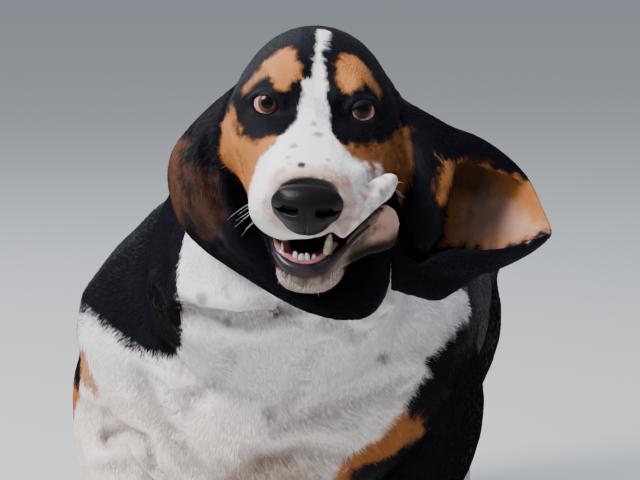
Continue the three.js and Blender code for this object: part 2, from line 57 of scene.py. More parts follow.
CAMERA_PLACE = (0.58800, -2.93719, 0.66223)
CAMERA_AZIMUTH, CAMERA_ELEVATION = math.radians(12.0), math.radians(7.0)
LIGHT_AIM = Vector((0.0, -0.15, 0.30))
COOL_LIGHT = (0.80, 0.87, 1.0)

SKIN_GRAIN = 1.8 * MM
NODE_OVERLAP = 0.7 * MM
EYE_RADIUS = 11.5
EYE_SIDE = 33.5

rng = np.random.default_rng(7)

BLACK = np.array((0.0042, 0.0042, 0.0064))
WHITE = np.array((0.82, 0.79, 0.79))
TAN = np.array((0.37, 0.138, 0.040))
# Tan darkened as painted shade, for the left cheek and the ear's bowl
SHADED_TAN = np.array((0.20, 0.072, 0.022))
RUST = np.array((0.085, 0.036, 0.022))
CREAM = np.array((0.60, 0.42, 0.30))
FLESH = np.array((0.50, 0.29, 0.235))
# A dusky dark tone, laid below the lip and as painted shade in hollows and valleys
DUSK = np.array((0.055, 0.036, 0.038))
# The mouth's dark red flesh, darkened nearly to black as painted shade
SHADED_MOUTH = np.array((0.045, 0.012, 0.010))
TICK = np.array((0.10, 0.085, 0.11))

DOG = Matrix.Scale(MM, 4) @ Matrix.Translation(FRAME_SHIFT)
HEAD = (
    Matrix.Scale(MM, 4)
    @ Matrix.Translation(EYES + FRAME_SHIFT)
    @ Matrix.Rotation(HEAD_TURN, 4, "Z")
    @ Matrix.Rotation(HEAD_NOD, 4, "X")
    @ Matrix.Rotation(HEAD_TILT, 4, "Y")
)
HEAD_AXES = HEAD.to_3x3().normalized()


def head_place(x, y, z):
    """The frame's place of a point that is given in head places."""
    return HEAD @ Vector((x, y, z))


def changed(matrix, points):
    """An array of points, moved by a matrix."""
    m = np.array(matrix)
    return points @ m[:3, :3].T + m[:3, 3]


def shown(name, made, material=None, smooth=True):
    """Links a mesh as an object with its material, and returns the object."""
    if isinstance(made, bmesh.types.BMesh):
        mesh = bpy.data.meshes.new(name)
        made.to_mesh(mesh)
        made.free()
    else:
        mesh = made
    piece = bpy.data.objects.new(name, mesh)
    bpy.context.collection.objects.link(piece)
    if smooth:
        mesh.shade_smooth()
    if material:
        mesh.materials.clear()
        mesh.materials.append(material)
    return piece


def array_of(things, what, width=3, kind=float):
    """One property of a mesh's elements, as an array with a row for each."""
    values = np.empty(len(things) * width, dtype=kind)
    things.foreach_get(what, values)
    return values.reshape(-1, width)


def finished(piece):
    """The piece's mesh with its modifiers applied. The piece itself goes."""
    graph = bpy.context.evaluated_depsgraph_get()
    mesh = bpy.data.meshes.new_from_object(piece.evaluated_get(graph))
    bpy.data.objects.remove(piece)
    return mesh


# Materials


class Value:
    """A socket of a material's nodes. Arithmetic on it adds Math nodes."""

    def __init__(self, tree, socket=None):
        self.tree = tree
        self.socket = socket

    def node(self, kind, settings=None, sockets=None, out=0):
        """Adds a node: its settings first, then the values or links of its sockets."""
        made = self.tree.nodes.new(kind)
        for name, value in (settings or {}).items():
            if name == "stops":
                ramp = made.color_ramp.elements
                while len(ramp) < len(value):
                    ramp.new(0.5)
                for stop, (place, colour) in zip(ramp, value):
                    stop.position = place
                    stop.color = (*colour, 1.0)
            else:
                setattr(made, name, value)
        for name, value in (sockets or {}).items():
            if isinstance(value, Value):
                self.tree.links.new(value.socket, made.inputs[name])
            else:
                made.inputs[name].default_value = value
        return Value(self.tree, made.outputs[out])

    def maths(self, operation, *values):
        return self.node("ShaderNodeMath", {"operation": operation}, dict(enumerate(values)))

    def __add__(self, other):
        return self.maths("ADD", self, other)

    def __sub__(self, other):
        return self.maths("SUBTRACT", self, other)

    def __rsub__(self, other):
        return self.maths("SUBTRACT", other, self)

    def __mul__(self, other):
        return self.maths("MULTIPLY", self, other)

    __radd__ = __add__
    __rmul__ = __mul__

    def above(self, edge, width):
        """0 below the edge and 1 above it, with a soft step between."""
        scaled = (self - (edge - width / 2)) * (1.0 / width)
        return self.node("ShaderNodeClamp", {}, {"Value": scaled})

    def mixed(self, first, second):
        """The colour between two colours that this value picks."""
        return self.node(
            "ShaderNodeMix",
            {"data_type": "RGBA"},
            {0: self, 6: first, 7: second},
            out=2,
        )

    def into(self, shader, name):
        """Links this value to one of the shader's sockets."""
        self.tree.links.new(self.socket, shader.inputs[name])


def surface(name, **constants):
    """A new material, with the shader's own sockets set. Returns it with a start for its nodes."""
    material = bpy.data.materials.new(name)
    material.use_nodes = True
    shader = material.node_tree.nodes["Principled BSDF"]
    for socket, value in constants.items():
        shader.inputs[socket.replace("_", " ")].default_value = value
    return material, Value(material.node_tree), shader


def attribute(start, name, out=0):
    """A property that the piece's own corners carry."""
    return start.node("ShaderNodeAttribute", {"attribute_name": name}, out=out)


def own_place(start):
    """The place of each point on its own piece."""
    return start.node("ShaderNodeTexCoord", out=3)


def noise(place, scale, detail=3.0):
    """Soft blots, more of them to the metre as the scale grows."""
    sockets = {"Vector": place, "Scale": scale, "Detail": detail}
    return place.node("ShaderNodeTexNoise", {}, sockets)


def relief(height, strength, distance):
    """Bumps in the surface that follow a value."""
    sockets = {"Height": height, "Strength": strength, "Distance": distance}
    return height.node("ShaderNodeBump", {}, sockets)


def coat_material(name, roughness, gloss):
    """Hair: the tuft's own colour and a soft gloss."""
    material, start, shader = surface(name, Roughness=roughness, Specular_IOR_Level=gloss)
    attribute(start, "coat").into(shader, "Base Color")
    return material


def skin_material():
    """Skin under the coat: the same markings, fine short hair as bump, wet where the mouth is."""
    material, start, shader = surface("skin", Specular_IOR_Level=0.06)
    hair = relief(noise(own_place(start), 900.0, 2.0), 0.35, 0.0006)
    wet = attribute(start, "wet", out=2)
    attribute(start, "coat").into(shader, "Base Color")
    (0.55 - wet * 0.33).into(shader, "Roughness")
    hair.into(shader, "Normal")
    return material


def wet_skin(name, colours, spots, edge, roughness, gloss):
    """Bare moist skin, enamel or horn, in two colours that run into each other in blots."""
    material, start, shader = surface(
        name,
        Roughness=roughness,
        Coat_Weight=gloss,
        Coat_Roughness=0.15,
        Specular_IOR_Level=0.12 + 0.6 * gloss,
    )
    blots = noise(own_place(start), spots)
    tone = blots.above(edge, 0.25).mixed(*((*colour, 1.0) for colour in colours))
    tone.into(shader, "Base Color")
    relief(blots, 0.5, 0.0007).into(shader, "Normal")
    return material


# Light, floor and camera


def photo_camera():
    """A long lens in front of the dog, a little to its left and just above its head."""
    level = math.cos(CAMERA_ELEVATION)
    across, along = math.sin(CAMERA_AZIMUTH) * level, -math.cos(CAMERA_AZIMUTH) * level
    back = Vector((across, along, math.sin(CAMERA_ELEVATION)))
    lens = bpy.data.cameras.new("camera")
    lens.lens = 200.0
    lens.sensor_width = 36.0
    camera = bpy.data.objects.new("camera", lens)
    bpy.context.collection.objects.link(camera)
    camera.location = CAMERA_PLACE
    camera.rotation_euler = back.to_track_quat("Z", "Y").to_euler()
    bpy.context.scene.camera = camera


def soft_light(name, place, size, power, colour, mirrored=True):
    """A square soft box that points at the dog's chest, and may stay out of gloss."""
    lamp = bpy.data.lights.new(name, "AREA")
    lamp.size = size
    lamp.energy = power
    lamp.color = colour
    holder = bpy.data.objects.new(name, lamp)
    bpy.context.collection.objects.link(holder)
    holder.location = place
    holder.visible_glossy = mirrored
    back = Vector(place) - LIGHT_AIM
    holder.rotation_euler = back.to_track_quat("Z", "Y").to_euler()


def studio():
    """A plain pale floor under soft light, cooler from above and behind."""
    made = bmesh.new()
    bmesh.ops.create_grid(made, x_segments=1, y_segments=1, size=40.0)
    paint = surface("studio_floor", Base_Color=(0.52, 0.53, 0.52, 1.0), Roughness=0.9)[0]
    floor = shown("studio_floor", made, paint, smooth=False)
    world = bpy.data.worlds.new("studio")
    world.use_nodes = True
    background = world.node_tree.nodes["Background"]
    background.inputs["Color"].default_value = (*COOL_LIGHT, 1.0)
    background.inputs["Strength"].default_value = 0.52
    bpy.context.scene.world = world
    soft_light("key", (-1.7, -2.0, 2.6), 1.2, 205.0, (1.0, 0.975, 0.965))
    soft_light("rim", (-1.6, 1.6, 2.2), 1.8, 42.0, COOL_LIGHT)
    soft_light("top", (-0.3, -0.4, 2.8), 2.0, 66.0, (0.88, 0.92, 1.0), mirrored=False)


# Markings

WOBBLE_WAVES = 7
WOBBLE_SCALE = 2.6


def in_head(points):
    """The points as head places."""
    return changed(HEAD.inverted(), points)


def in_dog(points):
    """The points as dog places."""
    return changed(DOG.inverted(), points)


def trail_depth(points, trail):
    """How deep each point lies inside a row of ((x, y, z), radius) balls and what joins them."""
    if len(trail) == 1:
        centre, radius = trail[0]
        return radius - np.linalg.norm(points - np.array(centre, float), axis=1)
    depth = np.full(len(points), -1e9)
    for (a, ra), (b, rb) in zip(trail, trail[1:]):
        a, b = np.array(a, float), np.array(b, float)
        along = np.clip((points - a) @ (b - a) / ((b - a) @ (b - a)), 0.0, 1.0)
        nearest = a + along[:, None] * (b - a)
        here = ra + (rb - ra) * along - np.linalg.norm(points - nearest, axis=1)
        depth = np.maximum(depth, here)
    return depth


def wobble(points, size, seed):
    """A smooth pattern from about -1 to 1 whose blots are about one size."""
    local = np.random.default_rng(seed)
    total = np.zeros(len(points))
    for _ in range(WOBBLE_WAVES):
        way = local.normal(size=3)
        way /= np.linalg.norm(way)
        total += np.sin(points @ way * (2 * math.pi / size) + local.uniform(0, 2 * math.pi))
    return total / WOBBLE_SCALE


def stray(points, *patterns):
    """How far a mark's edge strays at each point: patterns of (reach, blot size, seed) together."""
    return sum(reach * wobble(points, size, seed) for reach, size, seed in patterns)


class Paint:
    """Colours of a set of points, laid on one mark after another."""

    def __init__(self, points, colours):
        self.points = points
        self.colour = np.array(np.broadcast_to(colours, (len(points), 3)), float)

    def lay(self, colour, depth, soft, strength=1.0):
        """Lays a colour where the depth is above 0, fading over a soft edge."""
        share = np.clip(depth / soft + 0.5, 0.0, 1.0)[:, None] * strength
        self.colour += (np.array(colour) - self.colour) * share

    def mark(self, colour, trail, edge, soft, strength=1.0):
        """Lays a colour along a trail, whose edge lies this much further out."""
        self.lay(colour, trail_depth(self.points, trail) + edge, soft, strength)

    def dots(self, colour, places, edge, soft, strength):
        """Lays a colour on round dots, each given as (x, y, z, radius)."""
        for x, y, z, radius in places:
            self.mark(colour, (((x, y, z), radius),), edge, soft, strength)


# The head's marks in head places
BLAZE = (
    ((4, 66, 36), 5),
    ((1, 33, 33), 2.2),
    ((1, 20, 28), 2.6),
    ((1, 9, 20), 4),
    ((-1, 0, 16), 8),
    ((0, -17, 0), 10),
    ((-1, -30, -6), 13),
    ((-3, -44, -14), 22),
)
MUZZLE_WHITE = (((-6, -82, -42), 49), ((4, -84, -44), 48))
LIP_WHITE = (((30, -78, -48), 24), ((47, -44, -54), 18), ((52, -30, -57), 13))
FLUNG_LIP_ROLL = (((32, -72, -26), 7), ((40, -47, -32), 6), ((50, -33, -38), 4))
FLUNG_LIP_WHITE = (
    ((20, -94, -60), 13),
    ((44, -73, -43), 10),
    ((58, -56, -34), 12),
    ((66, -52, -30), 8),
)
BROWS = (
    (((-35, 26, 23), 7), ((-26, 28, 27), 10), ((-24, 8, 22), 11), ((-25, -4, 16), 4)),
    (((26, 27, 26), 10), ((25, 8, 21), 11), ((24, -3, 16), 4)),
)
BROW_TAILS = (
    (((-34, 17, 20), 9), ((-52, 12, 8), 4)),
    (((36, 20, 20), 8), ((46, 9, 12), 4)),
)
CHEEKS = (
    (((-60, 8, -20), 10), ((-58, -10, -38), 20), ((-50, -38, -40), 22), ((-44, -62, -58), 12)),
    (((-42, -38, -26), 12), ((-29, -43, -14), 6)),
    (((60, 10, -20), 10), ((60, -10, -40), 22), ((48, -38, -34), 20)),
    (((46, -36, -24), 10), ((26, -54, -15), 8)),
)
CHEEK_SHADE = (((66, -4, -30), 22), ((48, -36, -26), 12))
EYE_BLACKS = (
    (((-38, -2, 6), 13), ((-34, -22, -8), 14), ((-40, -26, -14), 8)),
    (((36, -2, 4), 14), ((30, -24, -8), 12), ((50, -8, -8), 15), ((58, 6, -10), 10)),
)
BIG_TICK = (((-7, -85, -15), 3.4),)
MUZZLE_TICKS = (
    (-15, -83, -16, 1.8),
    (-17, -74, -13, 2.2),
    (-14, -60, -10, 3.0),
    (0, -30, -3, 2.5),
    (4, -42, -6, 4.0),
    (-24, -70, -20, 1.6),
    (12, -76, -12, 1.8),
    (30, -72, -28, 2.0),
)
PINK_SPOTS = (
    (50, -68, -38, 3.5),
    (60, -57, -33, 4.0),
    (40, -52, -28, 3.0),
    (42, -83, -40, 4.0),
    (49, -68, -34, 3.0),
    (33, -69, -24, 2.2),
    (-22, -86, -20, 4.0),
)
NOSE_BORDERS = (
    (((-20, -87, -22), 6), ((-7, -92, -20), 7), ((7, -91, -18), 7), ((22, -88, -22), 6)),
    (((24, -90, -28), 7), ((27, -95, -42), 8), ((24, -99, -56), 8), ((8, -100, -64), 8)),
    (((-25, -90, -28), 4), ((-28, -94, -44), 4), ((-20, -96, -58), 5), ((0, -100, -65), 7)),
)
NOSE_BORDER_TONE = CREAM * (0.85, 0.66, 0.60)
BROW_TAIL_TONE = TAN * (0.95, 1.1, 1.3)


def head_colours(points):
    """The head's markings: black, with a white blaze and muzzle and tan brows and cheeks."""
    h = in_head(points)
    ragged = stray(h, (1.6, 14, 1), (1.0, 5, 2))
    paint = Paint(h, BLACK)
    for trail in CHEEKS:
        paint.mark(TAN, trail, 1.4 * ragged, soft=5)
    paint.mark(SHADED_TAN, CHEEK_SHADE, ragged, soft=12, strength=0.6)
    for trail in EYE_BLACKS:
        paint.mark(BLACK * 1.3, trail, 1.4 * ragged, soft=6)
    for trail in BROWS:
        paint.mark(TAN * 1.15, trail, ragged, soft=4)
    for trail in BROW_TAILS:
        paint.mark(BROW_TAIL_TONE, trail, ragged, soft=6, strength=0.75)
    paint.mark(WHITE, BLAZE, 0.7 * ragged, soft=2.5)
    for trail in (MUZZLE_WHITE, LIP_WHITE, FLUNG_LIP_WHITE, FLUNG_LIP_ROLL):
        paint.mark(WHITE, trail, ragged, soft=4)
    for trail in NOSE_BORDERS:
        paint.mark(NOSE_BORDER_TONE, trail, ragged, soft=6, strength=0.65)
    mottle = np.minimum(trail_depth(h, FLUNG_LIP_WHITE) + 5, 5 * wobble(h, 9, 21) - 1.0)
    paint.lay(FLESH, mottle, soft=3, strength=0.65)
    paint.dots(FLESH, PINK_SPOTS, 0, soft=2.5, strength=0.6)
    paint.dots(TICK, MUZZLE_TICKS, 0.4 * ragged, soft=2, strength=0.75)
    paint.mark(BLACK * 2, BIG_TICK, 0, soft=1.5, strength=0.95)
    return paint.colour


# The hollow of the mouth is an ellipsoid in head places
MOUTH_MIDDLE = (0, -46, -88)
MOUTH_RADII = (28.5, 50.8, 27.5)


def mouth_colours(points, colours, wet):
    """Lays the inside of the mouth, its dark red flesh darkened nearly to black as painted shade, over the
    head's markings, and makes it wet.
    """
    h = in_head(points)
    inside = 1.0 - np.linalg.norm((h - MOUTH_MIDDLE) / MOUTH_RADII, axis=1)
    paint = Paint(h, colours)
    # Painted shade: the mouth's hollow, dark red-black
    paint.lay(SHADED_MOUTH, inside * 30 + 1.0, soft=2.0)
    wet += (1.0 - wet) * np.clip(inside * 15 + 1.0, 0, 1)
    return paint.colour, wet


# The jaw's marks, and the lower lip as (x, y, z, radius), in head places
LOWER_LIP = (
    (-25, -58, -83, 1.4),
    (-22, -74, -87, 3.4),
    (-12, -86, -93.5, 4.9),
    (0, -89, -95.5, 5.6),
    (10, -87, -93.5, 5.2),
    (18, -86, -88, 4.0),
    (26, -86, -80, 2.2),
    (36, -82, -69, 1.4),
    (45, -76, -62, 0.9),
)
BELOW_LIP = tuple(((x, y, z - 2), 7) for x, y, z, _ in LOWER_LIP[1:7])
CHIN = (((0, -80, -112), 26), ((16, -84, -104), 16))
JAW_FLESH = (((50, -66, -72), 9), ((60, -60, -66), 15))
JAW_BROWN = (((24, -84, -86), 12), ((40, -78, -74), 13), ((54, -66, -62), 9))
# Painted shade: the valley beside the bare cup
JAW_VALLEY_SHADE = (((34, -80, -77), 4), ((46, -72, -70), 4), ((56, -64, -66), 2))
# Painted shade under the bare cup
SHADE_BELOW_CUP = (((36, -80, -88), 7), ((48, -74, -86), 8), ((62, -66, -84), 8), ((68, -56, -76), 6))
CHIN_TONE = CREAM * (0.52, 0.54, 0.62)


def jaw_colours(points):
    """The lower jaw: a brownish-pink chin, dusky by the lip, a bare pink cup at its left, and painted shade
    in the valley beside the cup.
    """
    h = in_head(points)
    ragged = stray(h, (1.5, 12, 3), (1.2, 5, 15))
    paint = Paint(h, BLACK * 1.5)
    paint.mark(CHIN_TONE, CHIN, ragged, soft=5)
    paint.mark(DUSK, BELOW_LIP, ragged, soft=6, strength=0.85)
    paint.mark(CREAM * 0.38, JAW_BROWN, ragged, soft=5)
    paint.mark(FLESH, JAW_FLESH, ragged, soft=5)
    # Painted shade in the valley beside the bare cup
    paint.mark(DUSK, JAW_VALLEY_SHADE, ragged, soft=5, strength=0.8)
    return paint.colour


# The flung ear's bowl in dog places: its root, the heights there of its rims, its marks and its painted shade
BOWL_ROOT = 176
BOWL_START = 160
BOWL_TOP = 397
BOWL_PINK_TOP = 388
BOWL_BOTTOM = 331
BOWL_SHADE = (176, 380)
NOT_BOWL = -60
BOWL_FOLD_SHADE = (((172, -160, 372), 2), ((178, -160, 352), 2), ((176, -170, 338), 1))
FRONT_WALL_TAN = (((172, -226, 393), 5), ((168, -230, 374), 4))
LEFT_EAR_ROOT = (((66, 10, -20), 5), ((68, -2, -34), 6), ((68, -6, -50), 6), ((66, 0, -66), 6))


def left_ear_colours(points, normals):
    """The flung-up ear: black outside and along its rims, its bare bowl tan and pink, with painted shade in
    dark brown deep in the bowl and along its fold.
    """
    d = in_dog(points)
    paint = Paint(d, BLACK)
    ragged = stray(d, (1.6, 12, 4), (1.0, 4, 5))
    x, y, z = d.T
    top = BOWL_TOP - 0.34 * (x - BOWL_ROOT) - z
    pink_top = BOWL_PINK_TOP - 0.72 * (x - BOWL_ROOT) - z
    bottom = z - (BOWL_BOTTOM + 0.40 * np.clip(x - 205, 0, None))
    behind_rim = y + 207 + 2.0 * np.clip(z - 345, 0, None) + 1.5 * np.clip(x - 225, 0, None)
    behind_front = y + 222 + 1.2 * np.clip(x - 180, 0, None)
    hollow = (normals[:, 1] < -0.08) & (behind_rim > 0) & (behind_front > 0)
    bowl = np.minimum(np.minimum(x - BOWL_START, top), bottom)
    paint.lay(TAN, np.where(hollow, bowl, NOT_BOWL) + ragged, soft=4)
    pink = np.minimum(np.minimum(pink_top, x - 172), bottom - 3)
    paint.lay(FLESH * 0.95, np.where(hollow, pink, NOT_BOWL) + 2 * ragged, soft=14, strength=0.75)
    # Painted shade, dark brown, deep in the top of the bowl
    shade = 16 * (1 - np.hypot((x - BOWL_SHADE[0]) / 20, (z - BOWL_SHADE[1]) / 16))
    paint.lay(SHADED_TAN * 0.35, np.where(hollow, shade, NOT_BOWL) + ragged, soft=14, strength=0.85)
    # Painted shade along the fold inside the bowl
    fold = np.where(hollow, trail_depth(d, BOWL_FOLD_SHADE), NOT_BOWL)
    paint.lay(SHADED_TAN * 0.6, fold, soft=5, strength=0.6)
    root = trail_depth(in_head(points), LEFT_EAR_ROOT)
    paint.lay(TAN * 0.6, root + ragged, soft=4, strength=0.8)
    paint.mark(TAN * 0.8, FRONT_WALL_TAN, ragged, soft=6)
    return paint.colour


EAR_BROWN = (((-80, -4, -60), 10), ((-79, -14, -76), 11), ((-72, -24, -88), 7))
EAR_BROWN_EDGE = (((-103, 20, -48), 9), ((-102, 4, -66), 11), ((-96, -6, -84), 9))


def right_ear_colours(points):
    """The hanging ear: black, browner in a patch and along its outer edge."""
    h = in_head(points)
    paint = Paint(h, BLACK)
    ragged = stray(h, (3, 16, 6), (2, 6, 16))
    paint.mark(RUST * 0.8, EAR_BROWN, ragged, soft=14, strength=0.6)
    paint.mark(RUST, EAR_BROWN_EDGE, ragged, soft=12, strength=0.8)
    return paint.colour


# Borders of the front's markings: heights or widths at a row of places across or up the chest
RIGHT_BLACK_PLACES = (-175, -146, -125, -105, -84, -66, -50, -36, -29)
RIGHT_BLACK_HEIGHTS = (250, 255, 245, 232, 226, 230, 244, 262, 400)
LEFT_WHITE_HEIGHTS = (120, 134, 148, 156, 168, 188, 202, 216, 226, 238, 257, 300, 340)
LEFT_WHITE_PLACES = (52, 60, 68, 76, 96, 112, 121, 132, 130, 140, 153, 152, 118)
LEFT_TAN_HEIGHTS = (120, 134, 143, 150, 160, 172, 184, 194)
LEFT_TAN_PLACES = (66, 72, 80, 104, 115, 122, 119, 110)
LEG_WHITE_HEIGHT = 104
BELLY_HEIGHT = 172
TAN_EDGE = 18
FRONT_BACK = -18
RIGHT_SIDE_BACK = -62
THROAT_HEIGHT = 278
ARM_TAN_TOP = 196
# Painted shade: below this height the colours grow darker and warmer
LOW_SHADE_HEIGHT = 215
# The middle of the painted shade under the chest, across and up
UNDER_CHEST_SHADE = (12, 128)
SOLE_HEIGHT = 3.0
TAIL_WHITE_PLACE = -75

# The body's marks in dog places; the throat's black and the dusk between the arms are painted shade
THROAT_SHADE = (
    ((70, -224, 326), 12),
    ((84, -212, 328), 17),
    ((96, -205, 324), 16),
    ((108, -184, 322), 15),
    ((116, -155, 322), 15),
)
ARM_TAN = (((-154, -64, 212), 9), ((-144, -70, 190), 7))
ARM_PIT_SHADE = (((-97, -95, 150), 4), ((-93, -92, 130), 4))
ARM_PINK = (((-128, -70, 156), 5), ((-106, -88, 160), 5))
BODY_TICKS = (
    (-13, -236, 293, 5.4),
    (10, -240, 297, 3.6),
    (5, -239, 305, 3.4),
    (1, -214, 272, 4.0),
    (3, -180, 243, 6.5),
    (55, -172, 243, 3.5),
    (101, -112, 233, 5.0),
    (17, -144, 191, 5.0),
)

# Folds: a line of places, its width, its depth, how far the skin beside it swells, and where.
# The body's are in dog places and the head's in head places.
FOLDS = (
    (((-30, -218, 279), (-12, -223, 274), (15, -228, 274), (54, -230, 284)), 10.3, 16.5, 10.8, (0, 0, 1)),
    (((80, -206, 270), (92, -190, 258), (104, -158, 254), (114, -168, 268)), 9.2, 11, 8.4, (0, 0, 1)),
    (((-42, -138, 200), (-29, -142, 210), (-12, -172, 228), (0, -200, 246)), 7.5, 5.6, 4.25, (-0.8, 0, 0.6)),
    (((26, -138, 176), (58, -127, 190), (91, -112, 201), (114, -98, 207)), 12.5, 6.4, 5.95, (0, 0, 1)),
    (((30, -140, 196), (44, -152, 215), (58, -173, 234), (70, -188, 250)), 10, 4.8, 3.4, (-1, 0, 0)),
    (((-94, -108, 200), (-86, -111, 174), (-70, -115, 155), (-55, -116, 132)), 17.5, 11.2, 5.1, (1, 0, 0.3)),
    (((-134, -70, 152), (-118, -80, 157), (-100, -95, 152), (-94, -90, 130)), 7.5, 11.2, 5.95, (-0.3, 0, -1)),
    (((-60, -124, 236), (-50, -132, 214), (-52, -130, 190)), 15, 5.6, 4.25, (-1, 0, 0)),
    (((66, -126, 222), (96, -108, 226), (124, -86, 236)), 13.8, 4, 3.4, (0, 0, 1)),
    (((10, -131, 150), (40, -125, 158), (66, -112, 150)), 11.2, 6.4, 5.1, (0, 0, 1)),
    (((-46, -206, 300), (-52, -196, 276), (-58, -160, 250)), 11.2, 6.4, 5.1, (-1, 0, 0)),
)


def eye_folds(side):
    """The creases above and below one eye."""
    above = ((side * 46, -10, 14), (side * 36, -14, 17), (side * 24, -14, 13))
    below = ((side * 46, -12, -12), (side * 36, -18, -16), (side * 24, -20, -13))
    return (above, 2.2, 1.3, 1.2, (0, 0, 1)), (below, 2.4, 1.2, 1.2, (0, 0, -1))


EAR_EDGE = ((-100, 30, -30), (-93, 22, -42), (-94, 0, -62), (-86, -14, -76), (-66, -36, -101))
EAR_MIDDLE = ((-76, 30, -22), (-77, 8, -44), (-76, -4, -62), (-62, -26, -86))
FLUNG_LIP_LINE = ((60, -56, -38), (50, -66, -38), (41, -78, -40), (33, -90, -41), (27, -94, -52))
HEAD_FOLDS = (
    (EAR_EDGE, 5, 3.2, 2.6, (-1, 0, 0)),
    (EAR_MIDDLE, 6, 2.2, 1.8, (1, 0, 0)),
    (((-58, 0, -12), (-55, -18, -24), (-51, -28, -44), (-47, -36, -56)), 3.2, 2.0, 1.6, (-1, 0, 0)),
    (((62, -4, -28), (57, -18, -28), (52, -27, -35), (52, -28, -44)), 3.4, 2.4, 1.8, (-0.6, 0, 0.8)),
    (FLUNG_LIP_LINE, 2.6, 3.4, 2.2, (0.3, 0, -1)),
    (((34, -82, -78), (46, -74, -70), (56, -64, -62)), 3.4, 3.0, 2.2, (-0.4, 0, 1)),
    (((50, -66, -37), (58, -58, -34)), 8, -4.5, 0, (0, 0, 1)),
    (((34, -70, -26), (41, -46, -31), (50, -34, -36)), 8, -6, 0, (0, 0, 1)),
    *eye_folds(-1),
    *eye_folds(1),
)
# Painted shade in the creases of the folds: the coat's colour darkened by this much
CREASE_SHADE_TONE = (0.42, 0.35, 0.34)
# How much the painted shade low on the body darkens and warms its colours
LOW_SHADE_TONE = (1.0, 0.90, 0.82)


def paint_belly(paint, ragged):
    """The white belly and its tan edge, which climb towards the rear and drop on the thighs."""
    x, y, z = paint.points.T
    rear = np.clip((y - 120) / 200, 0, 1)
    thigh = np.clip((y - 180) / 80, 0, 1) * np.clip((np.abs(x) - 34) / 20, 0, 1)
    rise = 22 * rear * (1 - thigh)
    belly = BELLY_HEIGHT + rise - 66 * thigh - z + 9 * wobble(paint.points, 110, 9)
    paint.lay(TAN * 0.85, belly + TAN_EDGE + rise + 8 * thigh + ragged, soft=12)
    paint.lay(WHITE, belly + ragged, soft=8)


def paint_front(paint, ragged):
    """The white front, between the tan and black left arm, the right side and the throat."""
    x, y, z = paint.points.T
    left = np.interp(z, LEFT_WHITE_HEIGHTS, LEFT_WHITE_PLACES) - x
    tan = np.interp(z, LEFT_TAN_HEIGHTS, LEFT_TAN_PLACES) - x
    front = FRONT_BACK - y
    arm = np.minimum(np.minimum(x - 40, z - LEG_WHITE_HEIGHT), 90 - np.abs(y + 70))
    paint.lay(BLACK, np.minimum(arm, -left) + ragged, soft=6)
    tan = np.minimum(np.minimum(tan, front + 40), ARM_TAN_TOP - z)
    paint.lay(TAN * 0.95, tan + ragged, soft=5)
    side = RIGHT_SIDE_BACK - y + 1.4 * np.clip(x + 146, 0, None) + np.clip(185 - z, 0, 34)
    right = np.maximum(np.interp(x, RIGHT_BLACK_PLACES, RIGHT_BLACK_HEIGHTS) - z, x + 28)
    throat = THROAT_HEIGHT + 0.42 * (-40 - y) - z
    white = np.minimum(np.minimum(np.minimum(left, right), np.minimum(side, front)), throat)
    paint.lay(WHITE, white + 0.6 * ragged, soft=5)
    paint.mark(TAN * 0.95, ARM_TAN, ragged, soft=5, strength=0.9)
    # Painted shade: black on the throat under the jaw
    paint.mark(BLACK, THROAT_SHADE, ragged, soft=6)


def paint_tones(paint, ragged):
    """Painted shade: colours darker and warmer low down, brownish under the chest, dusky between the arms and
    dark in the creases; then the ticks.
    """
    x, y, z = paint.points.T
    # Painted shade: darker, warmer colours low down
    low_shade = LOW_SHADE_HEIGHT - z + 8 * wobble(paint.points, 60, 17)
    paint.lay(paint.colour * LOW_SHADE_TONE, low_shade, soft=90, strength=0.8)
    # Painted shade: a soft brownish patch under the chest, on its front
    under = 30 * (1 - np.hypot((x - UNDER_CHEST_SHADE[0]) / 44, (z - UNDER_CHEST_SHADE[1]) / 30))
    under = np.where(y < -60, under, -30)
    paint.lay(CREAM * 0.55, under + ragged, soft=16, strength=0.75)
    # Painted shade in the hollow between the right arm and the chest
    paint.mark(DUSK * 1.6, ARM_PIT_SHADE, 0.5 * ragged, soft=6, strength=0.8)
    paint.mark(FLESH, ARM_PINK, 0, soft=8, strength=0.5)
    # Painted shade: each fold's crease is darkened, more for deeper folds
    for line, width, depth, _, _ in FOLDS:
        crease_shade = [(place, width * 0.2 + depth * 0.6) for place in line]
        strength = min(0.07 * depth, 0.8)
        paint.mark(paint.colour * CREASE_SHADE_TONE, crease_shade, 0, soft=width, strength=strength)
    paint.dots(TICK, BODY_TICKS, 0.3 * ragged, soft=4, strength=0.7)


def body_colours(points):
    """Trunk, neck and legs: a black saddle, white front, belly and legs, tan where they meet."""
    paint = Paint(in_dog(points), BLACK)
    ragged = stray(paint.points, (3, 40, 7), (2.5, 13, 8), (1.2, 5, 14))
    paint_belly(paint, ragged)
    paint_front(paint, ragged)
    paint_tones(paint, ragged)
    return paint.colour


def leg_colours(points):
    """Legs: white, with the trunk's colours at their tops and dark pads under the soles."""
    d = in_dog(points)
    paint = Paint(d, body_colours(points))
    paint.lay(WHITE, LEG_WHITE_HEIGHT - d[:, 2] + stray(d, (4, 30, 10)), soft=12)
    paint.lay(BLACK * 2, SOLE_HEIGHT - d[:, 2], soft=2)
    return paint.colour


def tail_colours(points):
    """Tail: black, with a white tip."""
    d = in_dog(points)
    paint = Paint(d, BLACK)
    paint.lay(WHITE, stray(d, (8, 30, 11)) + (TAIL_WHITE_PLACE - d[:, 0]), soft=12)
    return paint.colour


FLESH_NODES = (
    "torso neck head lower_jaw ear_right ear_left tail foreleg_right foreleg_left "
    "hindleg_right hindleg_left forepaw_right forepaw_left hindpaw_right hindpaw_left"
).split()
LEG_NODES = [name for name in FLESH_NODES if "leg" in name]
PAW_NODES = [name for name in FLESH_NODES if "paw" in name]


def from_nodes(owner, names):
    """Which points came from the named nodes."""
    return np.isin(owner, [FLESH_NODES.index(name) for name in names])


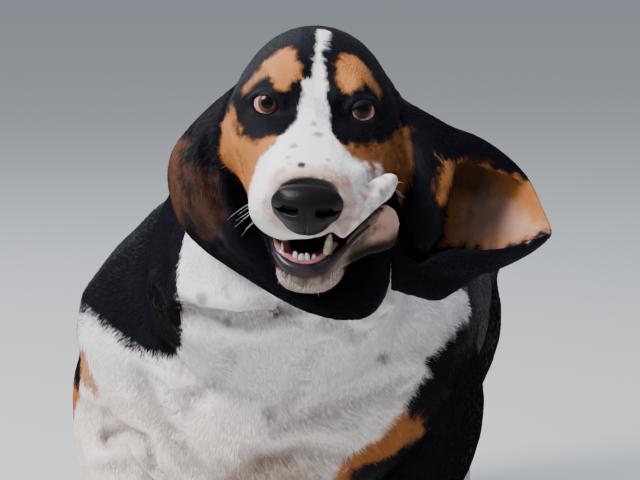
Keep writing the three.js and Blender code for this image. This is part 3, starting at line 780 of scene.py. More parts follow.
def markings(points, normals, owner):
    """Each point's colour and wetness, from its place and the node that it belongs to."""
    coat = body_colours(points)
    for names, colours in (
        (["head"], head_colours),
        (["lower_jaw"], jaw_colours),
        (["ear_right"], right_ear_colours),
        (["tail"], tail_colours),
        (LEG_NODES + PAW_NODES, leg_colours),
    ):
        here = from_nodes(owner, names)
        coat[here] = colours(points[here])
    here = from_nodes(owner, ["ear_left"])
    coat[here] = left_ear_colours(points[here], normals[here])
    wet = np.where(from_nodes(owner, ["lower_jaw"]), 0.3, 0.0)
    here = from_nodes(owner, ["head", "lower_jaw"])
    coat[here], wet[here] = mouth_colours(points[here], coat[here], wet[here])
    paint = Paint(in_head(points), coat)
    # Painted shade under the bare cup of the jaw, over whatever lies there
    paint.mark(DUSK * 0.6, SHADE_BELOW_CUP, 0, soft=4)
    return paint.colour, wet


# Skin

# How far the skin sinks below the solids, to make room for the coat
COAT_DEPTH = dict(head=0.6, lower_jaw=0.5, ear_right=0.7, ear_left=0.7, torso=1.5, neck=1.3, tail=1.6)
LEG_COAT_DEPTH = 1.2
ANKLE_FOLD_HEIGHTS = (56, 70, 84, 99)
ANKLE_FOLD_DEPTH = 1.3
NAPE_FILL = 26

# The face in head places: inside this radius the skin keeps all its detail
FACE_MIDDLE = (2, -50, -45)
FACE_RADIUS = 60
FACE_FADE = 30


def joined_nodes():
    """Copies of the nodes of flesh, each grown a little so that they run into each other."""
    whole = bmesh.new()
    for name in FLESH_NODES:
        part = bmesh.new()
        part.from_mesh(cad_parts[name].data)
        bmesh.ops.remove_doubles(part, verts=part.verts, dist=1e-6)
        part.normal_update()
        for v in part.verts:
            v.co += v.normal * NODE_OVERLAP
        mesh = bpy.data.meshes.new("part")
        part.to_mesh(mesh)
        part.free()
        whole.from_mesh(mesh)
        bpy.data.meshes.remove(mesh)
    return whole


def node_tree():
    """A search tree of the nodes' corners and face middles, and each one's node."""
    places, owners = [], []
    for index, name in enumerate(FLESH_NODES):
        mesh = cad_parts[name].data
        corners = array_of(mesh.vertices, "co")
        middles = array_of(mesh.polygons, "center")
        found = np.unique(np.concatenate((corners, middles)).round(5), axis=0)
        places.append(found)
        owners.append(np.full(len(found), index))
    places, owners = np.concatenate(places), np.concatenate(owners)
    tree = kdtree.KDTree(len(places))
    for i, place in enumerate(places):
        tree.insert(place, i)
    tree.balance()
    return tree, owners


def weigh(piece, name, weights):
    """Gives the piece a vertex group with a weight for each vertex."""
    group = piece.vertex_groups.new(name=name)
    steps = np.round(weights * 10).astype(int)
    for step in np.unique(steps):
        group.add(np.nonzero(steps == step)[0].tolist(), step / 10, "REPLACE")


def rough_skin():
    """One closed skin round all the nodes of flesh, smoothed where they met, fine on the head."""
    piece = shown("skin_block", joined_nodes())
    remesh = piece.modifiers.new("remesh", "REMESH")
    remesh.mode = "VOXEL"
    remesh.voxel_size = SKIN_GRAIN
    piece = shown("skin_block", finished(piece))
    h = in_head(array_of(piece.data.vertices, "co"))
    d = in_dog(array_of(piece.data.vertices, "co"))
    beyond = np.linalg.norm(h - FACE_MIDDLE, axis=1) - FACE_RADIUS
    face = np.clip(1 - beyond / FACE_FADE, 0, 1)
    # Where the head, the chest and the paws are, in dog places
    head = (d[:, 1] < -150) & (d[:, 2] > 275)
    chest = (d[:, 1] < 60 - 0.55 * d[:, 2]) & (d[:, 2] > 105) & (d[:, 2] < 325)
    paws = d[:, 2] < 50
    weigh(piece, "smoothing", np.where(head, 0.35 * (1 - face) + 0.1, np.where(paws, 0.2, 1.0)))
    smooth = piece.modifiers.new("smooth", "SMOOTH")
    smooth.factor = 0.6
    smooth.iterations = 24
    smooth.vertex_group = "smoothing"
    weigh(piece, "thinning_head", 1.0 - face)
    weigh(piece, "thinning_body", np.where(head, 0.0, np.where(chest, 0.1, 1.0)))
    for group, ratio in (("thinning_head", 0.42), ("thinning_body", 0.55)):
        thin = piece.modifiers.new(group, "DECIMATE")
        thin.ratio = ratio
        thin.vertex_group = group
    return finished(piece)


class Skin:
    """The dog's skin: its places, normals, the node that each corner came from, and its coat."""

    def __init__(self):
        self.mesh = rough_skin()
        self.places = array_of(self.mesh.vertices, "co")
        self.normals = array_of(self.mesh.vertex_normals, "vector")
        tree, owners = node_tree()
        self.owner = owners[np.array([tree.find(place)[1] for place in self.places])]
        self.fold()
        self.settle()
        self.coat, self.wet = markings(self.places, self.normals, self.owner)

    def of(self, *names):
        """Which corners came from the named nodes."""
        return from_nodes(self.owner, names)

    def push(self, distance):
        """Moves each corner outwards by its own distance in millimetres."""
        self.places = self.places + self.normals * distance[:, None] * MM
        self.mesh.vertices.foreach_set("co", self.places.ravel())
        self.mesh.update()
        self.normals = array_of(self.mesh.vertex_normals, "vector")

    def fold(self):
        """Presses the folds of loose skin in, raises what lies beside them, and fills the nape."""
        body = ~self.of("head", "lower_jaw", "ear_right", "ear_left")
        move = np.zeros(len(self.places))
        for matrix, folds, here in ((DOG, FOLDS, body), (HEAD, HEAD_FOLDS, ~body)):
            places = changed(matrix.inverted(), self.places)
            for line, width, depth, swell, side in folds:
                away = trail_depth(places, [(place, 0.0) for place in line])
                beside = np.array(line) + 1.8 * width * np.array(side)
                past = trail_depth(places, [(place, 0.0) for place in beside])
                groove = -depth * np.exp(-((away / width) ** 2))
                ridge = swell * np.exp(-((past / (1.3 * width)) ** 2))
                move += np.where(here, groove + ridge, 0)
        d = in_dog(self.places)
        nape = self.evened(self.of("head")[:, None].astype(float), 30)[:, 0]
        behind = np.clip((d[:, 1] + 200) / 30, 0, 1) * (d[:, 2] > 330)
        move += NAPE_FILL * nape * (1 - nape) * behind
        for height in ANKLE_FOLD_HEIGHTS:
            level = d[:, 2] - height - 1.5 * wobble(d, 60, 17)
            groove = ANKLE_FOLD_DEPTH * np.exp(-((level / 3.0) ** 2))
            move -= np.where(self.of(*LEG_NODES), groove, 0)
        self.push(move)

    def settle(self):
        """Sinks the skin by the coat's depth, which is least on the face, ears and jaw."""
        depth = np.full(len(self.places), LEG_COAT_DEPTH)
        for name, value in COAT_DEPTH.items():
            depth[self.of(name)] = value
        self.push(-self.evened(depth[:, None], 12)[:, 0])

    def evened(self, values, rounds):
        """Values of the corners, spread over their neighbours a number of times."""
        a, b = array_of(self.mesh.edges, "vertices", 2, np.int32).T
        size = len(values)
        count = np.bincount(a, minlength=size) + np.bincount(b, minlength=size)
        for _ in range(rounds):
            sums = [np.bincount(a, v[b], size) + np.bincount(b, v[a], size) for v in values.T]
            values = (values + np.stack(sums, axis=1)) / (1 + count)[:, None]
        return values

    def show(self):
        """Makes the skin a piece that stands for the nodes of flesh."""
        mesh = self.mesh
        coat = mesh.color_attributes.new("coat", "FLOAT_COLOR", "POINT")
        rgba = np.concatenate((self.coat, np.ones((len(self.coat), 1))), axis=1)
        coat.data.foreach_set("color", rgba.ravel())
        wet = mesh.attributes.new("wet", "FLOAT", "POINT")
        wet.data.foreach_set("value", self.wet)
        piece = shown("skin", mesh, skin_material())
        unwrap(piece)
        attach(piece, "root")
        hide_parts(*FLESH_NODES)
        return piece


def unwrap(piece):
    """Gives the skin its bake map, unwrapped by the way that its faces point."""
    bpy.context.view_layer.objects.active = piece
    piece.select_set(True)
    piece.data.uv_layers.new(name="OFBake")
    bpy.ops.object.mode_set(mode="EDIT")
    bpy.ops.mesh.select_all(action="SELECT")
    bpy.ops.uv.smart_project(angle_limit=math.radians(70), island_margin=0.002)
    bpy.ops.object.mode_set(mode="OBJECT")


# Coat

HAIR_LENGTH = dict(
    head=4.2,
    lower_jaw=2.6,
    ear_right=7.0,
    ear_left=5.5,
    neck=6.8,
    torso=8.0,
    tail=8.0,
    foreleg_right=6.5,
    foreleg_left=6.5,
    hindleg_right=7.0,
    hindleg_left=7.0,
)
PAW_HAIR_LENGTH = 4.0
BOWL_HAIR_LENGTH = 3.2
BOWL_RIM_HAIR_LENGTH = 3.6
FLUNG_LIP_HAIR_LENGTH = 1.8
LIDS_REACH = 13.5

# The lie of the hair, as directions of the dog
BODY_LIE = (0.0, 1.0, -0.5)
NECK_LIE = (0.0, 0.45, -1.0)
LEG_LIE = (0.0, 0.2, -1.0)
PAW_LIE = (0.0, -0.7, -0.5)

# Where the hair starts from or what it follows: head places, and dog places for the tail
NOSE_TIP = (0, -104, -34)
CHIN_TIP = (0, -112, -80)
LEFT_EAR_START = (62, 24, -10)
RIGHT_EAR_LINE = (
    (-60, 24, 0),
    (-92, 4, -50),
    (-84, -14, -84),
    (-52, -40, -104),
    (-18, -54, -128),
    (60, -50, -140),
)
TAIL_LINE = ((40, 420, 360), (-20, 490, 340), (-60, 560, 380), (-120, 590, 420))

# A tuft has two corners at its root, one on its back and one at its tip
TUFT_COUNT = 360000
TUFTS_PER_PIECE = 49000
TUFT_ROOT_DEPTH = 0.4 * MM
TUFT_LIFT, LEAST_LIFT, MOST_LIFT = 0.05, 0.2 * MM, 0.7 * MM
TUFT_WIDTH, LEAST_WIDTH, MOST_WIDTH = 0.07, 0.32 * MM, 0.60 * MM
LIE_SPREAD = 0.13
FACING_SPREAD = 0.06
SIDE_LEAN = 0.3
TIP_LEAN = 0.2
STRAND_SPREAD = 0.07
TUFT_FACES = np.array(((0, 2, 1), (0, 3, 2), (1, 2, 3), (0, 1, 3)))
# Painted shade along each tuft: its two root corners darker, its tip lighter
TUFT_SHADES = np.array((0.84, 0.84, 1.0, 1.08))
TUFT_MAP_STEP = 0.0015
TUFT_MAP = np.array(((-1, -1), (1, -1), (0, 0), (0, 1))) * TUFT_MAP_STEP

# The sum of a dark tuft's colour, and the least channel of a pale one's
DARK_SUM = 0.16
PALE_LEAST = 0.30

# Each tone of hair: its roughness and its gloss
HAIR_FINISH = dict(black=(0.42, 0.05), white=(0.55, 0.2), tan=(0.5, 0.2))


def along_line(points, line):
    """The direction, at each point, of the nearest stretch of a line."""
    line = np.array(line, float)
    best = np.full(len(points), 1e9)
    ways = np.zeros_like(points)
    for a, b in zip(line, line[1:]):
        share = np.clip((points - a) @ (b - a) / ((b - a) @ (b - a)), 0, 1)
        away = np.linalg.norm(points - (a + share[:, None] * (b - a)), axis=1)
        nearer = away < best
        best[nearer] = away[nearer]
        ways[nearer] = (b - a) / np.linalg.norm(b - a)
    return ways


def unit(vectors):
    """The vectors at a length of one."""
    return vectors / np.maximum(np.linalg.norm(vectors, axis=1), 1e-9)[:, None]


class Coat:
    """Short flat hair over the whole skin, as small solid tufts that follow its lie."""

    def __init__(self, skin, piece):
        self.skin = skin
        self.piece = piece
        self.comb()
        self.measure()
        self.plant()
        self.cut()
        self.sort()

    def comb(self):
        """The lie of the hair at each corner: from the nose back, down the legs and ears."""
        skin = self.skin
        h = in_head(skin.places)
        d = in_dog(skin.places)
        turn = np.array(HEAD)[:3, :3] / MM
        lie = np.tile(BODY_LIE, (len(skin.places), 1))
        lie[skin.of("neck")] = NECK_LIE
        lie[skin.of(*LEG_NODES)] = LEG_LIE
        lie[skin.of(*PAW_NODES)] = PAW_LIE
        for name, start in (("head", NOSE_TIP), ("lower_jaw", CHIN_TIP), ("ear_left", LEFT_EAR_START)):
            here = skin.of(name)
            lie[here] = unit(h[here] - start) @ turn.T
        ear = skin.of("ear_right")
        lie[ear] = along_line(h[ear], RIGHT_EAR_LINE) @ turn.T
        tail = skin.of("tail")
        lie[tail] = along_line(d[tail], TAIL_LINE)
        self.lie = skin.evened(lie, 10)

    def measure(self):
        """Each corner's hair length and share of the tufts."""
        skin = self.skin
        length = np.full(len(skin.places), PAW_HAIR_LENGTH)
        for name, value in HAIR_LENGTH.items():
            length[skin.of(name)] = value
        h = in_head(skin.places)
        d = in_dog(skin.places)
        head = skin.of("head")
        muzzle = np.clip((-30 - h[:, 1]) / 40, 0, 1)
        length[head] -= 2.0 * muzzle[head]
        ear = skin.of("ear_left")
        length[ear & (skin.coat.sum(axis=1) > 0.2)] = BOWL_HAIR_LENGTH
        length[ear & (d[:, 0] > 205)] = BOWL_RIM_HAIR_LENGTH
        length[trail_depth(h, FLUNG_LIP_WHITE) > -2] = FLUNG_LIP_HAIR_LENGTH
        to_eyes = [np.linalg.norm(h - (side * EYE_SIDE, -4, 0), axis=1) for side in (-1, 1)]
        to_eye = np.min(to_eyes, axis=0)
        length *= np.clip((to_eye - 6) / 16, 0.25, 1)
        self.length = skin.evened(length[:, None], 8)[:, 0] * MM
        # Shorter hair stands closer, and the front has the most
        share = (7.0 * MM / np.clip(self.length + 1.5 * MM, 4.5 * MM, None)) ** 1.35
        share *= 0.6 + 0.8 * np.clip((60 - d[:, 1]) / 120, 0, 1)
        # None grows on the bare cup, in the mouth, under the soles or on the lids
        bare = np.maximum(trail_depth(h, JAW_FLESH), trail_depth(h, JAW_VALLEY_SHADE)) > -2
        share[(skin.wet > 0.35) | (bare & skin.of("lower_jaw"))] = 0
        share[skin.places[:, 2] < 2 * MM] = 0
        share[to_eye < LIDS_REACH] = 0
        self.share = share

    def plant(self):
        """Picks the tufts' roots, evenly for the share that each place has."""
        skin = self.skin
        mesh = self.piece.data
        mesh.calc_loop_triangles()
        corners = array_of(mesh.loop_triangles, "vertices", 3, np.int32)
        loops = array_of(mesh.loop_triangles, "loops", 3, np.int32)
        a, b, c = (skin.places[corners[:, i]] for i in range(3))
        area = np.linalg.norm(np.cross(b - a, c - a), axis=1) / 2
        wanted = np.cumsum(area * self.share[corners].mean(axis=1))
        picks = (np.arange(TUFT_COUNT) + rng.uniform(size=TUFT_COUNT)) / TUFT_COUNT * wanted[-1]
        face = np.searchsorted(wanted, picks)
        u, v = rng.uniform(size=(2, TUFT_COUNT))
        over = u + v > 1
        u[over], v[over] = 1 - u[over], 1 - v[over]
        blend = np.stack((1 - u - v, u, v), axis=1)
        at = corners[face]

        def mixed(values):
            """Values of the corners, blended at each root."""
            if values.ndim == 1:
                return (values[at] * blend).sum(axis=1)
            return (values[at] * blend[:, :, None]).sum(axis=1)

        self.root = mixed(skin.places)
        self.normal = unit(mixed(skin.normals))
        lie = mixed(self.lie)
        lie -= self.normal * (lie * self.normal).sum(axis=1)[:, None]
        self.way = unit(unit(lie) + rng.normal(scale=LIE_SPREAD, size=lie.shape))
        self.reach = mixed(self.length) * rng.uniform(0.7, 1.2, TUFT_COUNT)
        self.colour = markings(self.root, self.normal, skin.owner[at[:, 0]])[0]
        map_places = array_of(mesh.uv_layers["OFBake"].uv, "vector", 2)
        self.spot = (map_places[loops[face]] * blend[:, :, None]).sum(axis=1)

    def cut(self):
        """Shapes the tufts: each is bent over to lie on the skin."""
        tree = BVHTree.FromPolygons(
            [Vector(p) for p in self.skin.places],
            [list(p.vertices) for p in self.piece.data.polygons],
        )
        lift = np.clip(self.reach * TUFT_LIFT, LEAST_LIFT, MOST_LIFT)
        lift = lift * rng.uniform(0.5, 1.4, TUFT_COUNT)
        aim = self.root + self.way * self.reach[:, None]
        tip = aim.copy()
        for i, place in enumerate(aim):
            near, normal, _, _ = tree.find_nearest(place)
            tip[i] = near + normal * lift[i]
        side = unit(np.cross(self.normal, self.way))
        width = np.clip(self.reach * TUFT_WIDTH, LEAST_WIDTH, MOST_WIDTH)
        width = width * rng.uniform(0.7, 1.3, TUFT_COUNT)
        half = side * (width / 2)[:, None]
        base = self.root - self.normal * TUFT_ROOT_DEPTH
        hump = self.root * 0.55 + tip * 0.45 + self.normal * (lift * 0.7 + width * 0.2)[:, None]
        self.points = np.stack((base - half, base + half, hump, tip), axis=1)
        self.points[:, :, 2] = self.points[:, :, 2].clip(0.3 * MM)
        clumps = np.stack([wobble(self.root / MM, 16, seed) for seed in (21, 22, 23)], axis=1)
        ruffle = rng.normal(scale=FACING_SPREAD, size=self.root.shape)
        facing = self.normal + ruffle + FACING_SPREAD * clumps
        lean = side * SIDE_LEAN
        ahead = self.way * TIP_LEAN
        turns = (-lean, lean, -0.3 * ahead, ahead)
        self.facing = np.stack([unit(facing + turn) for turn in turns], axis=1)

    def sort(self):
        """Shares the tufts out among the pieces: by tone, and then from the front to the back."""
        least, most = self.colour.min(axis=1), self.colour.max(axis=1)
        dark = self.colour.sum(axis=1) < DARK_SUM
        pale = (least > PALE_LEAST) & (most < 1.6 * least)
        for tone, chosen in (("black", dark), ("white", pale & ~dark), ("tan", ~pale & ~dark)):
            chosen = np.nonzero(chosen)[0]
            chosen = chosen[np.argsort(self.root[chosen, 1])]
            count = max(1, math.ceil(len(chosen) / TUFTS_PER_PIECE))
            material = coat_material("hair_" + tone, *HAIR_FINISH[tone])
            for number, few in enumerate(np.array_split(chosen, count), 1):
                self.show(f"coat_{tone}_{number}", tone, few, material)

    def show(self, name, tone, few, material):
        """One piece of coat: the chosen tufts as one mesh, with colours and a bake map."""
        count = len(few)
        starts = (np.arange(count) * 4)[:, None, None]
        mesh = bpy.data.meshes.new(name)
        mesh.vertices.add(count * 4)
        mesh.vertices.foreach_set("co", self.points[few].ravel())
        mesh.loops.add(count * 12)
        mesh.loops.foreach_set("vertex_index", (starts + TUFT_FACES).ravel())
        mesh.polygons.add(count * 4)
        mesh.polygons.foreach_set("loop_start", np.arange(count * 4) * 3)
        mesh.update(calc_edges=True)
        strand = rng.normal(1.0, STRAND_SPREAD, count).clip(0.7, 1.3)
        # Each tuft's colour, with its painted shade at the root and lighter tip, and a random strand tone
        colour = self.colour[few][:, None, :] * TUFT_SHADES[None, :, None] * strand[:, None, None]
        rgba = np.concatenate((colour, np.ones((count, 4, 1))), axis=2)
        layer = mesh.color_attributes.new("coat", "FLOAT_COLOR", "POINT")
        layer.data.foreach_set("color", rgba.clip(0, 1).ravel())
        spots = self.spot[few][:, None, :] + TUFT_MAP
        layer = mesh.uv_layers.new(name="OFBake")
        layer.uv.foreach_set("vector", spots[:, TUFT_FACES.ravel()].clip(0, 1).ravel())
        mesh.shade_smooth()
        mesh.normals_split_custom_set_from_vertices(self.facing[few].reshape(-1, 3).tolist())
        piece = shown(name, mesh, material, smooth=False)
        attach(piece, "root")
        "coat_" + tone


# Tubes


def rope(made, path, radii, sides):
    """Adds a closed tapered tube along a row of head places to a bmesh."""
    path = [head_place(*place) for place in path]
    ring = None
    for i, (place, radius) in enumerate(zip(path, radii)):
        way = (path[min(i + 1, len(path) - 1)] - path[max(i - 1, 0)]).normalized()
        turn = way.to_track_quat("Z", "Y").to_matrix().to_4x4()
        new = bmesh.ops.create_circle(
            made,
            cap_ends=i in (0, len(path) - 1),
            radius=radius * MM,
            segments=sides,
            matrix=Matrix.Translation(place) @ turn,
        )["verts"]
        edges = list({edge for v in new for edge in v.link_edges})
        if ring:
            bmesh.ops.bridge_loops(made, edges=ring + edges)
        ring = edges
    bmesh.ops.recalc_face_normals(made, faces=made.faces)


def smooth_line(places, steps):
    """A smooth row of (x, y, z, radius) through a few given ones."""
    places = np.array(places, float)
    found = []
    for i in range(len(places) - 1):
        before, a = places[max(i - 1, 0)], places[i]
        b, after = places[i + 1], places[min(i + 2, len(places) - 1)]
        slope = b - before
        bend = 2 * before - 5 * a + 4 * b - after
        twist = 3 * a - before - 3 * b + after
        for t in np.arange(steps) / steps:
            found.append(0.5 * (2 * a + slope * t + bend * t * t + twist * t**3))
    found.append(places[-1])
    return np.array(found)


# Eyes

# Each eye's side, gaze and iris, and how its lids face up, droop and open: half their width,
# and how far up and down. Last come the angles between which the pink of the lower lid shows.
EYE_SHAPES = dict(
    right=dict(
        side=-1,
        gaze=(-0.13, -0.92, 0.36),
        iris=(0.13, 0.038, 0.015),
        lift=0.28,
        droop=math.radians(10),
        opening=(8.4, 6.0, 7.4),
        pink=(math.radians(30), math.radians(-95)),
    ),
    left=dict(
        side=1,
        gaze=(0.22, -0.915, 0.335),
        iris=(0.075, 0.027, 0.013),
        lift=0.15,
        droop=math.radians(6),
        opening=(8.8, 4.6, 6.8),
        pink=(math.radians(-5), math.radians(-110)),
    ),
)
LID_STAND_OFF = 0.5
HAW_STAND_OFF = 0.15
HAW_INSET = 0.25

# The eyeball's colours, and how squarely its surface faces the gaze where they begin
EYE_WHITE = (0.42, 0.27, 0.25)
EYE_WHITE_EDGE = (0.30, 0.17, 0.15)
IRIS_RIM = (0.03, 0.012, 0.010)
PUPIL = (0.001, 0.001, 0.0015)
FIRST_FACING = 0.62


def eye_material(name, centre, gaze, iris_colour):
    """A wet eyeball: pupil, streaked brown iris with a dark rim, and a pinkish white."""
    material, start, shader = surface(
        name,
        Roughness=0.3,
        Coat_Weight=0.7,
        Coat_Roughness=0.03,
        Coat_IOR=1.25,
        Specular_IOR_Level=0.05,
    )

    def vectors(operation, *values, out=0):
        return start.node(
            "ShaderNodeVectorMath", {"operation": operation}, dict(enumerate(values)), out
        )

    place = own_place(start)
    outward = vectors("NORMALIZE", vectors("SUBTRACT", place, tuple(centre)))
    facing = vectors("DOT_PRODUCT", outward, tuple(gaze), out=1)
    streaks = (noise(place, 1500.0) - 0.5) * 0.012
    stops = (
        (0.0, EYE_WHITE_EDGE),
        (0.30, EYE_WHITE),
        (0.50, IRIS_RIM),
        (0.57, iris_colour),
        (0.76, tuple(c * 0.6 for c in iris_colour)),
        (0.82, PUPIL),
    )
    share = ((facing + streaks) - FIRST_FACING) * (1 / (1 - FIRST_FACING))
    start.node("ShaderNodeValToRGB", {"stops": stops}, {0: share}).into(shader, "Base Color")
    return material


def eye(name, side, gaze, iris_colour):
    """An eyeball as deep in the head as its node, which it stands for."""
    centre = head_place(side * EYE_SIDE, 0.0, 0.0)
    ball = bmesh.new()
    bmesh.ops.create_uvsphere(ball, u_segments=48, v_segments=32, radius=EYE_RADIUS * MM)
    bmesh.ops.translate(ball, verts=ball.verts, vec=centre)
    way = (HEAD_AXES @ Vector(gaze)).normalized()
    piece = shown(name, ball, eye_material(name, centre, way, iris_colour))
    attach(piece, "root")
    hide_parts(name.replace("eyeball", "eye"))


class Lids:
    """The opening between one eye's lids: a drooping oval, seen along the way that it faces."""

    def __init__(self, shape):
        side = shape["side"]
        self.facing = Vector((side * 0.33, -0.93, shape["lift"])).normalized()
        self.across = Vector((0.93 * side, 0.33, 0.0)).normalized()
        up = self.facing.cross(self.across)
        self.up = up if up.z > 0 else -up
        self.middle = Vector((side * EYE_SIDE, 0, 0))
        self.opening = shape["opening"]
        self.droop = shape["droop"]

    def edge(self, angle, inset=0.0):
        """A place on the opening's edge, across and up."""
        width, upper, lower = (size - inset for size in self.opening)
        u = width * math.cos(angle)
        w = (upper if math.sin(angle) > 0 else lower) * math.sin(angle)
        cos, sin = math.cos(self.droop), math.sin(self.droop)
        return Vector((u * cos - w * sin, u * sin + w * cos))

    def place(self, flat, depth):
        """The head place of a place across and up, this far out from the eye's middle."""
        return self.middle + self.across * flat.x + self.up * flat.y + self.facing * depth


def lid_rim(name, shape, material):
    """The bare dark lids of one eye: a band that hugs the eyeball, widest above it."""
    lids = Lids(shape)
    ring = bmesh.new()
    section = Matrix.Translation((1.0, 0, 0)) @ Matrix.Rotation(math.pi / 2, 4, "X")
    bmesh.ops.create_circle(ring, radius=1.0, segments=14, matrix=section)
    bmesh.ops.spin(
        ring,
        geom=ring.verts[:] + ring.edges[:],
        axis=(0, 0, 1),
        cent=(0, 0, 0),
        dvec=(0, 0, 0),
        angle=2 * math.pi,
        steps=56,
        use_merge=True,
    )
    bmesh.ops.remove_doubles(ring, verts=ring.verts, dist=1e-4)
    ball = EYE_RADIUS + LID_STAND_OFF
    for v in ring.verts:
        angle = math.atan2(v.co.y, v.co.x)
        out, rise = math.hypot(v.co.x, v.co.y) - 1.0, v.co.z
        upper = max(0.0, math.sin(angle))
        edge = lids.edge(angle)
        away = edge.length + (out + 1.0) * (1.4 + 0.9 * upper)
        thick = 0.7 + 0.4 * upper * (1.0 - 0.5 * out)
        depth = math.sqrt(max(ball**2 - away**2, 1.0)) + rise * thick
        v.co = HEAD @ lids.place(edge.normalized() * away, depth)
    bmesh.ops.recalc_face_normals(ring, faces=ring.faces)
    piece = shown(name, ring, material)
    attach(piece, "root")


def haw(name, shape, material):
    """The pink inner rim of the drooping lower lid."""
    lids = Lids(shape)
    first, last = shape["pink"]
    path, radii = [], []
    for share in np.linspace(0, 1, 14):
        edge = lids.edge(first + (last - first) * share, HAW_INSET)
        depth = math.sqrt(EYE_RADIUS**2 - edge.x * edge.x - edge.y * edge.y) + HAW_STAND_OFF
        path.append(lids.place(edge, depth))
        radii.append(0.25 + 0.75 * math.sin(math.pi * share))
    made = bmesh.new()
    rope(made, path, radii, 10)
    piece = shown(name, made, material)
    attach(piece, "root")


# Lips, teeth and nose

# The lower gum as (x, y, z, radius), in head places
LOWER_GUM = (
    (-23, -58, -83, 2.6),
    (-19, -75, -86, 4.0),
    (-10, -83, -90, 3.8),
    (0, -85, -91, 3.8),
    (9, -83, -89, 3.6),
    (15, -78, -85, 3.2),
    (21, -66, -82, 2.2),
)


def mouth_rope(name, places, material):
    """A smooth tapered roll of bare skin through a few head places."""
    made = bmesh.new()
    line = smooth_line(places, 5)
    rope(made, line[:, :3], line[:, 3], 14)
    piece = shown(name, made, material)
    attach(piece, "root")


# Each incisor: its tilt, its girth and how far it stands above the row
INCISORS = (
    (14, 0.9, -1.2),
    (-8, 0.85, 0.3),
    (5, 1.0, -0.6),
    (-12, 0.8, 0.2),
    (9, 0.95, -1.0),
    (-15, 0.85, -1.6),
)
INCISOR_RADII = (2.5, 1.8, 4.0)
INCISOR_PITCH = 4.3
INCISOR_TOP = -82.6

# Each lower canine: its side, its size and how much lower it ends
CANINES = ((-1, 0.8, 6.0), (1, 1.0, 0.0))


def incisors():
    """Six small lower incisors, a little uneven, in a shallow arc."""
    made = bmesh.new()
    width, thickness, height = INCISOR_RADII
    for number, (tilt, girth, rise) in enumerate(INCISORS):
        place = number - (len(INCISORS) - 1) / 2
        x, y = place * INCISOR_PITCH - 1.0, -85.5 + place * place * 0.75
        at = Matrix.Translation(head_place(x, y, INCISOR_TOP + rise - height))
        lean = Matrix.Rotation(math.radians(tilt), 4, "Y")
        scale = Matrix.Diagonal((width * girth * MM, thickness * MM, height * MM, 1.0))
        matrix = at @ HEAD_AXES.to_4x4() @ lean @ scale
        bmesh.ops.create_icosphere(made, subdivisions=3, radius=1.0, matrix=matrix)
    return made


def canines():
    """Two curved lower canines beside the incisors."""
    made = bmesh.new()
    for side, size, drop in CANINES:
        places = (
            (side * 14.4, -78, -92, 3.8 * size),
            (side * 15.2, -79, -84 - drop, 4.1 * size),
            (side * 16.2, -78, -77 - drop, 3.0 * size),
            (side * 16.8, -75.5, -72.5 - drop, 1.5 * size),
            (side * 16.8, -74.5, -71 - drop, 0.6),
        )
        line = smooth_line(places, 4)
        rope(made, line[:, :3], line[:, 3], 16)
    return made


def tooth_piece(name, made, tones):
    """A row of teeth in enamel of two tones."""
    enamel = wet_skin(name + "_enamel", tones, spots=160.0, edge=0.5, roughness=0.25, gloss=0.4)
    piece = shown(name, made, enamel)
    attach(piece, "root")


# The nose pad in head places: its middle, its half width at each level from its lowest, half its
# height above and below the middle, its depth, and a nostril as ((x, z), radius) balls
NOSE = (-1.2, -97.5, -43.5)
NOSE_LEVELS = (-1.0, -0.87, -0.54, -0.26, 0.0, 0.62, 0.87, 1.0)
NOSE_HALVES = (21.0, 21.5, 20.8, 24.2, 25.4, 29.6, 35.0, 38.0)
NOSE_TOP, NOSE_BOTTOM, NOSE_DEPTH = 20.0, 21.5, 17.5
NOSTRIL = (((9.5, 3.5), 4.3), ((14.5, 3.5), 4.3), ((19.5, 1.0), 2.3), ((24.0, 1.5), 0.9))
NOSTRIL_DEPTH = 7.5
NOSE_GROOVE_DEPTH = 1.5


def eased(values):
    """The values kept between 0 and 1, with a gentle start and end."""
    values = np.clip(values, 0, 1)
    return values * values * (3 - 2 * values)


def nose_piece():
    """The nose pad: flat on top, drawn in below, with comma-shaped nostrils and a middle groove."""
    made = bmesh.new()
    bmesh.ops.create_uvsphere(made, u_segments=180, v_segments=130, radius=1.0)
    x, y, z = np.array([v.co for v in made.verts]).T
    front = eased(-y * 2.0)
    x = x * np.interp(z, NOSE_LEVELS, NOSE_HALVES)
    z = z * np.where(z > 0, NOSE_TOP, NOSE_BOTTOM)
    y = y * NOSE_DEPTH - 0.20 * z
    y += 0.005 * x * x * front
    spots = np.stack((np.abs(x), z), axis=1)
    y += NOSTRIL_DEPTH * front * eased(trail_depth(spots, NOSTRIL) / 2.6)
    wing = np.exp(-(((spots - (16, 11)) / (8, 5)) ** 2).sum(axis=1))
    under = np.exp(-(((spots - (12, -3.5)) / (6, 2.4)) ** 2).sum(axis=1))
    y -= front * (0.9 * wing + 1.1 * under)
    y += front * NOSE_GROOVE_DEPTH * np.exp(-((x / 0.9) ** 2)) * eased((6 - z) / 6)
    for v, place in zip(made.verts, np.stack((x, y, z), axis=1) + NOSE):
        v.co = HEAD @ Vector(place)
    piece = shown("nose_pad", made, nose_material())
    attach(piece, "root")
    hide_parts("nose")


def nose_material():
    """Black pebbled nose leather."""
    material, start, shader = surface(
        "nose_skin",
        Base_Color=(0.0045, 0.0038, 0.0052, 1.0),
        Roughness=0.36,
        Specular_IOR_Level=0.15,
    )
    sockets = {"Vector": own_place(start), "Scale": 1000.0}
    pebbles = start.node("ShaderNodeTexVoronoi", {}, sockets)
    relief(pebbles, 0.35, 0.0004).into(shader, "Normal")
    return material


# Whiskers and claws


